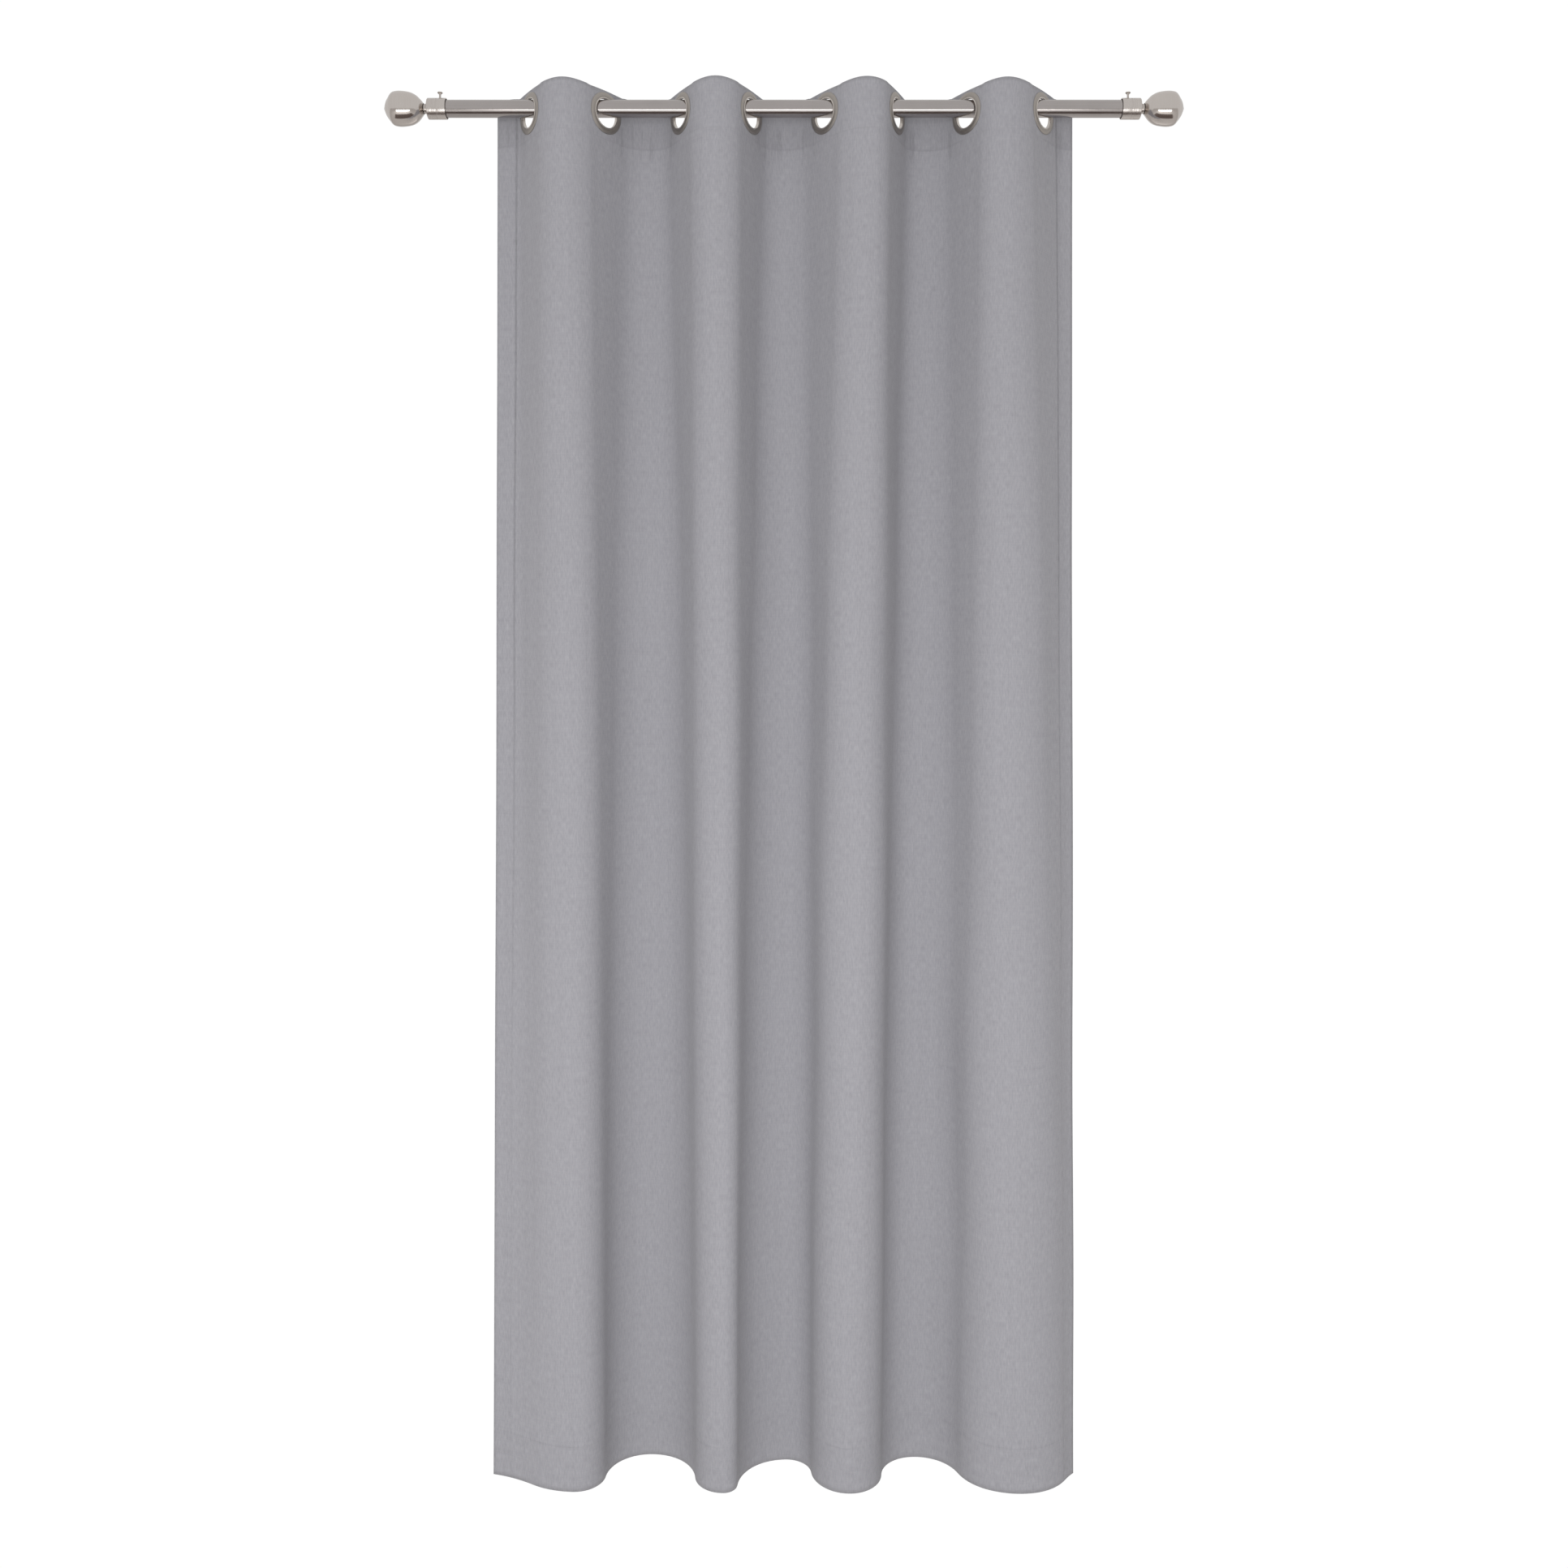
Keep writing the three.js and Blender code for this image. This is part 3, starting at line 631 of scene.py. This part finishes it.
def holes_through(stations, down):
    """Rounds the grid's square cells about each eyelet, and says which faces the holes take out.
    A point at a distance m from the eyelet, by the larger of its two coordinates, is drawn in to
    a circle of radius m. This fades out between the hole's edge and 18 mm further."""
    taken = np.zeros((stations.shape[0] - 1, stations.shape[1] - 1), bool)
    eyelet_down = panel_top - hang_height
    fitted = stations.copy(), down.copy()
    for at in EYELET_AT:
        a, b = stations - at, down - eyelet_down
        square = np.maximum(np.abs(a), np.abs(b))
        round_in = np.divide(square, np.hypot(a, b), out=np.ones_like(a), where=square > 0)
        round_in *= HOLE_RADIUS / HOLE_CELL
        fade = np.clip((square - HOLE_CELL) / HOLE_BLEND, 0, 1)
        factor = round_in + (1 - round_in) * fade
        near = square < HOLE_CELL + HOLE_BLEND
        fitted[0][near] = (at + a * factor)[near]
        fitted[1][near] = (eyelet_down + b * factor)[near]
        middle = (square[1:, 1:] + square[:-1, :-1] + square[1:, :-1] + square[:-1, 1:]) / 4
        taken |= middle < HOLE_CELL
    return *fitted, taken


def cloth_piece(name, stations, down, offset, taken=None):
    """A single layer of cloth from grids, with its width and length in metres as its UV map. It
    is given the cloth's thickness by a live Solidify."""
    points = cloth_points(stations, down, offset)
    tall, wide = stations.shape
    index = np.arange(tall * wide).reshape(tall, wide)
    corners = index[:-1, :-1], index[1:, :-1], index[1:, 1:], index[:-1, 1:]
    faces = np.stack(corners, -1).reshape(-1, 4)
    if taken is not None:
        faces = faces[~taken.ravel()]
    used, faces = np.unique(faces, return_inverse=True)
    faces = faces.reshape(-1, 4)
    mesh = bpy.data.meshes.new(name)
    mesh.from_pydata(points.reshape(-1, 3)[used].tolist(), [], faces.tolist())
    flat = np.stack([stations, down], -1).reshape(-1, 2)[used][faces].reshape(-1)
    layer = mesh.uv_layers.new(name="cloth")
    layer.data.foreach_set("uv", flat)
    mesh.shade_smooth()
    piece = bpy.data.objects.new(name, mesh)
    bpy.context.scene.collection.objects.link(piece)
    thickness = piece.modifiers.new("cloth_thickness", "SOLIDIFY")
    thickness.thickness = FABRIC
    thickness.offset = 0
    return piece


def formula(tree, operation, *values):
    """A Math node, with each value a number or another node's output."""
    made = node(tree, "ShaderNodeMath", operation=operation)
    for socket, value in zip(made.inputs, values):
        if isinstance(value, (int, float)):
            socket.default_value = value
        else:
            tree.links.new(value, socket)
    return made.outputs[0]


def band(tree, value, start, end):
    """A mask that rises smoothly from 0 at the start to 1 at the end."""
    made = node(tree, "ShaderNodeMapRange", interpolation_type="SMOOTHSTEP")
    made.inputs["From Min"].default_value = start
    made.inputs["From Max"].default_value = end
    tree.links.new(value, made.inputs["Value"])
    return made.outputs["Result"]


def noise(tree, vector, scale, detail):
    """A Noise texture over a vector, stretched by a scale for each direction."""
    placed = node(tree, "ShaderNodeMapping")
    placed.inputs["Scale"].default_value = scale
    tree.links.new(vector, placed.inputs["Vector"])
    made = node(tree, "ShaderNodeTexNoise")
    made.inputs["Scale"].default_value = 1
    made.inputs["Detail"].default_value = detail
    tree.links.new(placed.outputs["Vector"], made.inputs["Vector"])
    return made.outputs["Fac"]


def plain_weave():
    """Node group for the cloth. Threads cross over and under every half millimetre. Slubs are long
    thick places in the warp, drawn as a noise stretched down the cloth, with fewer across it.
    Mottle is a soft unevenness of the dye. Out come a shade about 1, a height and a roughness."""
    group = bpy.data.node_groups.new("plain_weave", "ShaderNodeTree")
    group.interface.new_socket("Cloth", in_out="INPUT", socket_type="NodeSocketVector")
    for label in ("Shade", "Height", "Roughness"):
        group.interface.new_socket(label, in_out="OUTPUT", socket_type="NodeSocketFloat")
    cloth = node(group, "NodeGroupInput").outputs["Cloth"]
    outputs = node(group, "NodeGroupOutput")
    parts = node(group, "ShaderNodeSeparateXYZ")
    group.links.new(cloth, parts.inputs["Vector"])
    threads = 2 * math.pi / 0.001
    warp = formula(group, "SINE", formula(group, "MULTIPLY", parts.outputs["X"], threads))
    weft = formula(group, "SINE", formula(group, "MULTIPLY", parts.outputs["Y"], threads))
    over = formula(group, "MULTIPLY", warp, weft)
    slub = noise(group, cloth, (420, 90, 1), 3)
    cross_slub = noise(group, cloth, (22, 480, 1), 2)
    streak = noise(group, cloth, (110, 1.6, 1), 4)
    mottle = noise(group, cloth, (120, 45, 1), 4)
    shade = formula(group, "MULTIPLY_ADD", formula(group, "SUBTRACT", slub, 0.5), 0.40, 1.0)
    shade = formula(
        group, "MULTIPLY_ADD", formula(group, "SUBTRACT", cross_slub, 0.5), 0.10, shade
    )
    shade = formula(group, "MULTIPLY_ADD", formula(group, "SUBTRACT", streak, 0.5), 0.06, shade)
    shade = formula(group, "MULTIPLY_ADD", formula(group, "SUBTRACT", mottle, 0.5), 0.16, shade)
    shade = formula(group, "MULTIPLY_ADD", over, 0.04, shade)
    height = formula(group, "MULTIPLY_ADD", slub, 0.9, formula(group, "MULTIPLY", over, 0.35))
    height = formula(group, "MULTIPLY_ADD", streak, 0.2, height)
    rough = formula(group, "MULTIPLY_ADD", slub, 0.12, 0.84)
    group.links.new(shade, outputs.inputs["Shade"])
    group.links.new(height, outputs.inputs["Height"])
    group.links.new(rough, outputs.inputs["Roughness"])
    return group


def grey_cloth(name, tone):
    """The cloth's finish on the cloth's own UV map. Where two layers lie on each other, along the
    heading on the back folds and along the hems, less light comes through, and the colour there is
    painted a shade darker. The stitching of the heading and of the side hems presses a thin groove
    as a bump, with a painted soft shadow along it. Small upright puckers stand across the heading's
    stitching on the back folds, where the cloth is pushed together: bumps, with painted shade."""
    made, tree, shader = material(name)
    link = tree.links.new
    cloth = node(tree, "ShaderNodeUVMap", uv_map="cloth").outputs["UV"]
    weave = node(tree, "ShaderNodeGroup", node_tree=WEAVE)
    link(cloth, weave.inputs["Cloth"])
    parts = node(tree, "ShaderNodeSeparateXYZ")
    link(cloth, parts.inputs["Vector"])
    across, down = parts.outputs["X"], parts.outputs["Y"]
    edge = formula(tree, "MINIMUM", across, formula(tree, "SUBTRACT", FLAT_WIDTH, across))
    heading = band(tree, down, HEADING + 0.001, HEADING - 0.001)
    hem = band(tree, edge, SIDE_HEM + 0.001, SIDE_HEM - 0.001)
    foot = band(tree, down, FLAT_LENGTH - BOTTOM_HEM - 0.001, FLAT_LENGTH - BOTTOM_HEM + 0.001)
    wobble = noise(tree, cloth, (18, 3, 1), 2)
    sew = formula(tree, "MULTIPLY_ADD", formula(tree, "SUBTRACT", wobble, 0.5), 0.004, edge)
    to_hem = formula(tree, "ABSOLUTE", formula(tree, "SUBTRACT", sew, SIDE_HEM - 0.002))
    to_heading = formula(tree, "ABSOLUTE", formula(tree, "SUBTRACT", down, HEADING - 0.003))
    below_top = band(tree, down, 1.9, 0.5)
    hem_groove_and_shadow = formula(tree, "MULTIPLY", band(tree, to_hem, 0.004, 0.0), below_top)
    heading_groove_and_shadow = band(tree, to_heading, 0.003, 0.0)
    turn = formula(tree, "SUBTRACT", across, EDGE_TO_EYELET + PITCH / 2)
    turn = formula(tree, "COSINE", formula(tree, "MULTIPLY", turn, math.pi / PITCH))
    back_fold = band(tree, turn, 0.1, -0.9)
    heading_groove_and_shadow = formula(tree, "MULTIPLY", heading_groove_and_shadow, 0.2)
    heading_groove_and_shadow = formula(tree, "MULTIPLY", heading_groove_and_shadow, back_fold)
    stitch_groove_and_shadow = formula(tree, "MAXIMUM", hem_groove_and_shadow, heading_groove_and_shadow)
    pucker = noise(tree, cloth, (90, 5, 1), 1)
    zone = formula(tree, "MULTIPLY", band(tree, down, 0.045, 0.07), band(tree, down, 0.13, 0.088))
    zone = formula(tree, "MULTIPLY", zone, back_fold)
    pucker_bump_and_shade = formula(tree, "MULTIPLY", band(tree, pucker, 0.50, 0.68), zone)
    # Painted shade: the colour is darkened where two layers lie together (the heading on the back
    # folds, the side hems, the bottom hem), standing in for light that does not come through.
    heading_painted_shade = formula(tree, "MULTIPLY", heading, back_fold)
    shade = formula(tree, "MULTIPLY_ADD", heading_painted_shade, -0.05, weave.outputs["Shade"])
    # Painted shade: the puckers' colour is darkened; the same mask also lowers the bump height
    # below.
    shade = formula(tree, "MULTIPLY_ADD", pucker_bump_and_shade, -0.10, shade)
    shade = formula(tree, "MULTIPLY_ADD", hem, -0.02, shade)
    shade = formula(tree, "MULTIPLY_ADD", foot, -0.015, shade)
    # Painted shadow: the colour is darkened along the stitching grooves; the same mask also sinks
    # the bump height below.
    shade = formula(tree, "MULTIPLY_ADD", stitch_groove_and_shadow, -0.22, shade)
    dark = tuple(channel * 0.5 for channel in tone)
    light = tuple(channel * 1.5 for channel in tone)
    tint = node(tree, "ShaderNodeMix", data_type="RGBA")
    tint.inputs["A"].default_value = (*dark, 1)
    tint.inputs["B"].default_value = (*light, 1)
    link(formula(tree, "SUBTRACT", shade, 0.5), tint.inputs["Factor"])
    link(tint.outputs["Result"], shader.inputs["Base Color"])
    link(weave.outputs["Roughness"], shader.inputs["Roughness"])
    height = formula(tree, "MULTIPLY_ADD", pucker_bump_and_shade, -3.0, weave.outputs["Height"])
    height = formula(tree, "MULTIPLY_ADD", stitch_groove_and_shadow, -3.0, height)
    bump = node(tree, "ShaderNodeBump")
    bump.inputs["Strength"].default_value = 0.6
    bump.inputs["Distance"].default_value = 0.0002
    link(height, bump.inputs["Height"])
    link(bump.outputs["Normal"], shader.inputs["Normal"])
    shader.inputs["Sheen Weight"].default_value = 0.12
    shader.inputs["Sheen Roughness"].default_value = 0.5
    shader.inputs["Specular IOR Level"].default_value = 0.15
    return made


WEAVE = plain_weave()
panel_cloth = grey_cloth("panel_cloth", (0.312, 0.311, 0.336))

eyelet_marks = [mark for at in EYELET_AT for mark in (at - HOLE_CELL, at + HOLE_CELL)]
width_lines = spaced(
    [0, SIDE_HEM, *eyelet_marks, FLAT_WIDTH - SIDE_HEM, FLAT_WIDTH],
    [0.006, 0.006] + [0.0056, 0.006] * EYELET_COUNT + [0.006],
)
eyelet_down = panel_top - hang_height
length_lines = spaced(
    [
        0,
        eyelet_down - HOLE_CELL,
        eyelet_down + HOLE_CELL,
        HEADING,
        FINE_TO,
        FLAT_LENGTH - BOTTOM_HEM,
        FLAT_LENGTH,
    ],
    [0.0065, 0.0056, 0.006, 0.010, 0.016, 0.010],
)
fitted_across, fitted_down, taken = holes_through(*np.meshgrid(width_lines, length_lines))
panel = cloth_piece("panel", fitted_across, fitted_down, 0.0, taken)
panel.data.materials.append(panel_cloth)


def hang(piece, *nodes):
    """Fixes a cloth piece to the panel's body, gives it a mesh of its own and hides the CAD nodes
    it stands in for.
    """
    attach(piece, "panel")
    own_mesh(piece)
    if nodes:
        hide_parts(*nodes)


hang(panel, "fabric_panel")

# ---------------------------------------------------------------------------------------------
# Heading and hems: the same cloth turned to the back and sewn down. The heading is 92 mm deep
# and takes the eyelets, the side hems are 36 mm wide and the bottom hem is 80 mm deep.
HEM_GAP = 0.002
TURN = 0.003


def lying_back(rims):
    """Offset of a turned-back layer. It lies just behind the face cloth, and comes down to it
    within 3 mm of each rim in the list, where the fold or the stitching is. Each rim is a grid
    of distances from it."""
    lift = np.ones_like(rims[0])
    for distance in rims:
        lift = np.minimum(lift, 0.62 + 0.38 * np.clip(distance / TURN, 0, 1))
    return LAYER_OFFSET * lift


edges_across = spaced([0, TURN, SIDE_HEM - TURN, SIDE_HEM], [0.0015, 0.006, 0.0015])
hem_lines = spaced(
    [HEADING + HEM_GAP, FINE_TO, FLAT_LENGTH - BOTTOM_HEM, FLAT_LENGTH - TURN, FLAT_LENGTH],
    [0.010, 0.016, 0.010, 0.0015],
)
cloth_back = grey_cloth("hem_cloth", (0.307, 0.306, 0.331))

heading_across = spaced(
    [0, TURN, *eyelet_marks, FLAT_WIDTH - TURN, FLAT_WIDTH],
    [0.0015, 0.006] + [0.0056, 0.006] * EYELET_COUNT + [0.0015],
)
heading_down = spaced(
    [0, TURN, eyelet_down - HOLE_CELL, eyelet_down + HOLE_CELL, HEADING - TURN, HEADING],
    [0.0015, 0.006, 0.0056, 0.006, 0.0015],
)
grid = np.meshgrid(heading_across, heading_down)
fitted_across, fitted_down, taken = holes_through(*grid)
rims = (grid[0], FLAT_WIDTH - grid[0], grid[1], HEADING - grid[1])
heading = cloth_piece("heading", fitted_across, fitted_down, lying_back(rims), taken)
heading.data.materials.append(cloth_back)
hang(heading, "heading_hem")

for side, start in (("left", 0.0), ("right", FLAT_WIDTH - SIDE_HEM)):
    grid = np.meshgrid(edges_across + start, hem_lines)
    rims = (grid[0] - start, start + SIDE_HEM - grid[0], FLAT_LENGTH - grid[1])
    hem = cloth_piece(f"{side}_hem", *grid, lying_back(rims))
    hem.data.materials.append(cloth_back)
    hang(hem, f"side_hem_{side}")

foot_across = spaced([SIDE_HEM + HEM_GAP, FLAT_WIDTH - SIDE_HEM - HEM_GAP], [0.0065])
foot_down = spaced(
    [FLAT_LENGTH - BOTTOM_HEM, FLAT_LENGTH - BOTTOM_HEM + TURN, FLAT_LENGTH - TURN, FLAT_LENGTH],
    [0.0015, 0.010, 0.0015],
)
grid = np.meshgrid(foot_across, foot_down)
rims = (grid[1] - FLAT_LENGTH + BOTTOM_HEM, FLAT_LENGTH - grid[1])
foot_hem = cloth_piece("foot_hem", *grid, lying_back(rims))
foot_hem.data.materials.append(cloth_back)
hang(foot_hem, "bottom_hem")

# ---------------------------------------------------------------------------------------------
# Stitching: matching polyester thread, lockstitched every 3.4 mm through both layers, one line
# along the heading's foot, one along each side hem and one along the bottom hem.
STITCH_PITCH = 0.0034
STITCH_LENGTH = 0.0027
THREAD = 0.00017

thread_grey, thread_tree, thread_shader = material("thread_grey")
thread_place = node(thread_tree, "ShaderNodeTexCoord")
ply = noise(thread_tree, thread_place.outputs["Object"], (900, 900, 900), 2)
thread_tint = node(thread_tree, "ShaderNodeMix", data_type="RGBA")
thread_tint.inputs["A"].default_value = (0.22, 0.215, 0.235, 1)
thread_tint.inputs["B"].default_value = (0.34, 0.335, 0.36, 1)
thread_tree.links.new(ply, thread_tint.inputs["Factor"])
thread_tree.links.new(thread_tint.outputs["Result"], thread_shader.inputs["Base Color"])
thread_shader.inputs["Roughness"].default_value = 0.55


def stitches(name, stations, down, level):
    """A line of stitches. Each is a spindle of five sides along the line from one stitch's start
    to its end, thickest in the middle, standing off the cloth by the level."""
    points = cloth_points(stations, down, level)
    begin, end = points[0::2], points[1::2]
    along = end - begin
    along /= np.linalg.norm(along, axis=1)[:, None]
    aside = np.cross(along, (0.3, 1.0, 0.2))
    aside /= np.linalg.norm(aside, axis=1)[:, None]
    third = np.cross(along, aside)
    turn = np.arange(5) * 2 * math.pi / 5
    ring = np.cos(turn)[:, None] * aside[:, None] + np.sin(turn)[:, None] * third[:, None]
    steps = ((0.0, 0.35), (0.25, 1.0), (0.75, 1.0), (1.0, 0.35))
    rings = [
        (begin + (end - begin) * t)[:, None] + ring * THREAD * width for t, width in steps
    ]
    body = np.stack(rings, 1)
    count = len(begin)
    index = np.arange(count * 20).reshape(count, 4, 5)
    wrap = np.roll(index, -1, 2)
    quads = np.stack([index[:, :-1], index[:, 1:], wrap[:, 1:], wrap[:, :-1]], -1).reshape(-1, 4)
    caps = np.vstack([index[:, 0], index[:, 3, ::-1]])
    mesh = bpy.data.meshes.new(name)
    mesh.from_pydata(body.reshape(-1, 3).tolist(), [], quads.tolist() + caps.tolist())
    work = bmesh.new()
    work.from_mesh(mesh)
    bmesh.ops.recalc_face_normals(work, faces=work.faces)
    work.to_mesh(mesh)
    work.free()
    mesh.shade_smooth()
    piece = bpy.data.objects.new(name, mesh)
    bpy.context.scene.collection.objects.link(piece)
    piece.data.materials.append(thread_grey)
    hang(piece)
    return piece


def stitch_ends(start, stop):
    """Starts and ends of the stitches between two distances, one after the other."""
    begin = np.arange(start, stop - STITCH_LENGTH, STITCH_PITCH)
    return np.stack([begin, begin + STITCH_LENGTH], 1).ravel()


face_level = -(FABRIC / 2 + THREAD * 0.4)
back_level = LAYER_OFFSET * 0.9 + FABRIC / 2 + THREAD * 0.4
for where, level in (("front", face_level), ("back", back_level)):
    run = stitch_ends(0.004, FLAT_WIDTH - 0.004)
    line = np.full_like(run, HEADING - TURN)
    stitches(f"heading_stitches_{where}", run, line, level)
    run = stitch_ends(SIDE_HEM, FLAT_WIDTH - SIDE_HEM)
    line = np.full_like(run, FLAT_LENGTH - BOTTOM_HEM + TURN)
    stitches(f"foot_stitches_{where}", run, line, level)
    for side, station in (("left", SIDE_HEM - TURN), ("right", FLAT_WIDTH - SIDE_HEM + TURN)):
        run = stitch_ends(HEADING + 0.003, FLAT_LENGTH - 0.004)
        line = np.full_like(run, station)
        stitches(f"{side}_stitches_{where}", line, run, level)

# ---------------------------------------------------------------------------------------------
# Eyelets: pressed metal in two halves, with a matt nickel look. The front half is a crowned
# flange with a fine bright bead at its bore and a barrel that goes through the heading. The back
# half is a flat washer that the barrel's end is rolled over.
EYELET_BORE = POLE_RADIUS + EYELET_PLAY
BARREL_WALL = 0.0015
BEAD_WIDTH = 0.0022
RING_SIDES = 72
FRONT_SEAT = -0.00075
BACK_SEAT = 0.0019
FRONT_CROWN = 0.0022
BACK_CROWN = 0.0016

eyelet_nickel = metal(
    "eyelet_nickel", (700, 700, 700), (0.37, 0.34, 0.31), (0.47, 0.44, 0.41), 0.34, 0.50, 0.08
)
bead_nickel = metal(
    "bead_nickel", (900, 900, 900), (0.58, 0.54, 0.50), (0.70, 0.66, 0.62), 0.18, 0.30, 0.05
)

barrel = EYELET_BORE + BARREL_WALL
nose = FRONT_SEAT - FRONT_CROWN
back_end = BACK_SEAT + BACK_CROWN
front_outline = eased(
    [
        (EYELET_BORE, back_end - 0.0002, 0.0003),
        (EYELET_BORE, nose + 0.0005, 0.0004),
        (EYELET_BORE + 0.0005, nose, 0.0003),
        (EYELET_BORE + 0.0014, nose, 0.0003),
        (EYELET_BORE + 0.0021, nose + 0.0006, 0.0003),
        (EYELET_BORE + 0.0050, nose + 0.0001, 0.0015),
        (EYELET_RADIUS - 0.0030, nose + 0.0003, 0.0018),
        (EYELET_RADIUS, FRONT_SEAT - 0.0006, 0.0005),
        (EYELET_RADIUS, FRONT_SEAT, 0.0001),
        (barrel, FRONT_SEAT, 0.0001),
        (barrel, back_end - 0.0002, 0.0003),
    ],
    5,
)
back_outline = eased(
    [
        (barrel + 0.0003, BACK_SEAT, 0.0001),
        (EYELET_RADIUS, BACK_SEAT, 0.0002),
        (EYELET_RADIUS - 0.0004, BACK_SEAT + 0.0009, 0.0004),
        (EYELET_RADIUS - 0.0022, back_end, 0.0010),
        (barrel + 0.0010, back_end - 0.0002, 0.0005),
        (barrel + 0.0003, back_end - 0.0008, 0.0002),
    ],
    5,
)
plan_x, plan_y, plan_direction = (grid[0] for grid in PLAN)
for i, at in enumerate(EYELET_AT):
    direction = np.interp(at, fine, plan_direction)
    centre = (np.interp(at, fine, plan_x), np.interp(at, fine, plan_y), hang_height)
    across = (math.cos(direction), math.sin(direction), 0)
    backwards = (-math.sin(direction), math.cos(direction), 0)
    for half, outline in (("front", front_outline), ("back", back_outline)):
        name = f"eyelet_{i + 1}_{half}_ring"
        ring = turned(name, outline, RING_SIDES, centre, backwards, across)
        ring.data.materials.append(eyelet_nickel)
        ring.data.materials.append(bead_nickel)
        middles = np.empty(len(ring.data.polygons) * 3)
        ring.data.polygons.foreach_get("center", middles)
        from_centre = np.linalg.norm(middles.reshape(-1, 3) - centre, axis=1)
        bead = (from_centre < EYELET_BORE + BEAD_WIDTH) & (half == "front")
        ring.data.polygons.foreach_set("material_index", bead.astype(np.int32))
        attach(ring, f"eyelet_{i + 1}")
        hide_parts(f"eyelet_{i + 1}_{half}")

# ---------------------------------------------------------------------------------------------
# Stage: a plain white studio with no shadow to be seen. A large soft key stands at the front
# left and a weaker one behind, a long low light below the camera gives the steel its bright
# line, a dark card on the floor gives it the dark line under that, and the rest is even.
FLOOR_HEIGHT = -2.62

bpy.context.scene.view_settings.view_transform = "Standard"

white, floor_tree, floor_shader = material("studio_floor")
floor_shader.inputs["Base Color"].default_value = (0.68, 0.66, 0.645, 1)
floor_shader.inputs["Roughness"].default_value = 0.9
glow = node(floor_tree, "ShaderNodeEmission")
glow.inputs["Color"].default_value = (1, 1, 1, 1)
glow.inputs["Strength"].default_value = 1.02
seen = node(floor_tree, "ShaderNodeLightPath")
either = node(floor_tree, "ShaderNodeMixShader")
floor_tree.links.new(seen.outputs["Is Camera Ray"], either.inputs["Fac"])
floor_tree.links.new(floor_shader.outputs["BSDF"], either.inputs[1])
floor_tree.links.new(glow.outputs["Emission"], either.inputs[2])
floor_output = floor_tree.nodes["Material Output"]
floor_tree.links.new(either.outputs["Shader"], floor_output.inputs["Surface"])

bpy.ops.mesh.primitive_plane_add(size=24, location=(0, 4, FLOOR_HEIGHT))
floor = bpy.context.object
floor.name = "floor"
floor.data.materials.append(white)
floor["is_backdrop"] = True

card_grey, _, card_shader = material("card_grey")
card_shader.inputs["Base Color"].default_value = (0.13, 0.10, 0.09, 1)
card_shader.inputs["Roughness"].default_value = 0.8
bpy.ops.mesh.primitive_plane_add(size=1, location=(0, -0.95, FLOOR_HEIGHT + 0.01))
card = bpy.context.object
card.name = "dark_card"
card.data.transform(Matrix.Diagonal((3.8, 1.6, 1, 1)))
card.visible_camera = False
card.visible_diffuse = False
card.visible_shadow = False
card.data.materials.append(card_grey)
card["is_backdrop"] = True

world = bpy.data.worlds.new("studio")
bpy.context.scene.world = world
world.use_nodes = True
air = world.node_tree
ambient = air.nodes["Background"]
ambient.inputs["Color"].default_value = (1.0, 0.985, 0.975, 1)
ambient.inputs["Strength"].default_value = 0.71
behind = node(air, "ShaderNodeBackground")
behind.inputs["Color"].default_value = (1, 1, 1, 1)
behind.inputs["Strength"].default_value = 1.02
ray = node(air, "ShaderNodeLightPath")
sky = node(air, "ShaderNodeMixShader")
air.links.new(ray.outputs["Is Camera Ray"], sky.inputs["Fac"])
air.links.new(ambient.outputs["Background"], sky.inputs[1])
air.links.new(behind.outputs["Background"], sky.inputs[2])
air.links.new(sky.outputs["Shader"], air.nodes["World Output"].inputs["Surface"])


def studio_light(name, place, target, size, watts, colour=(1, 1, 1)):
    """A rectangular light at a place, turned to face a target."""
    data = bpy.data.lights.new(name, "AREA")
    data.shape = "RECTANGLE"
    data.size, data.size_y = size
    data.energy = watts
    data.color = colour
    light = bpy.data.objects.new(name, data)
    light.location = place
    aim = Vector(target) - Vector(place)
    light.rotation_euler = aim.to_track_quat("-Z", "Y").to_euler()
    bpy.context.scene.collection.objects.link(light)
    return light


key = studio_light("key", (-0.65, -4.2, -1.5), (0, 0, -1.7), (2.6, 2.4), 78)
key.visible_glossy = False
rear_fill = studio_light("rear_fill", (0.8, 4.0, -1.0), (0, 0, -1.4), (2.4, 2.4), 45)
rear_fill.visible_glossy = False
studio_light("low_strip", (0, -3.1, -2.05), (0, 0, -1.4), (3.4, 0.72), 22)

low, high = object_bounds()
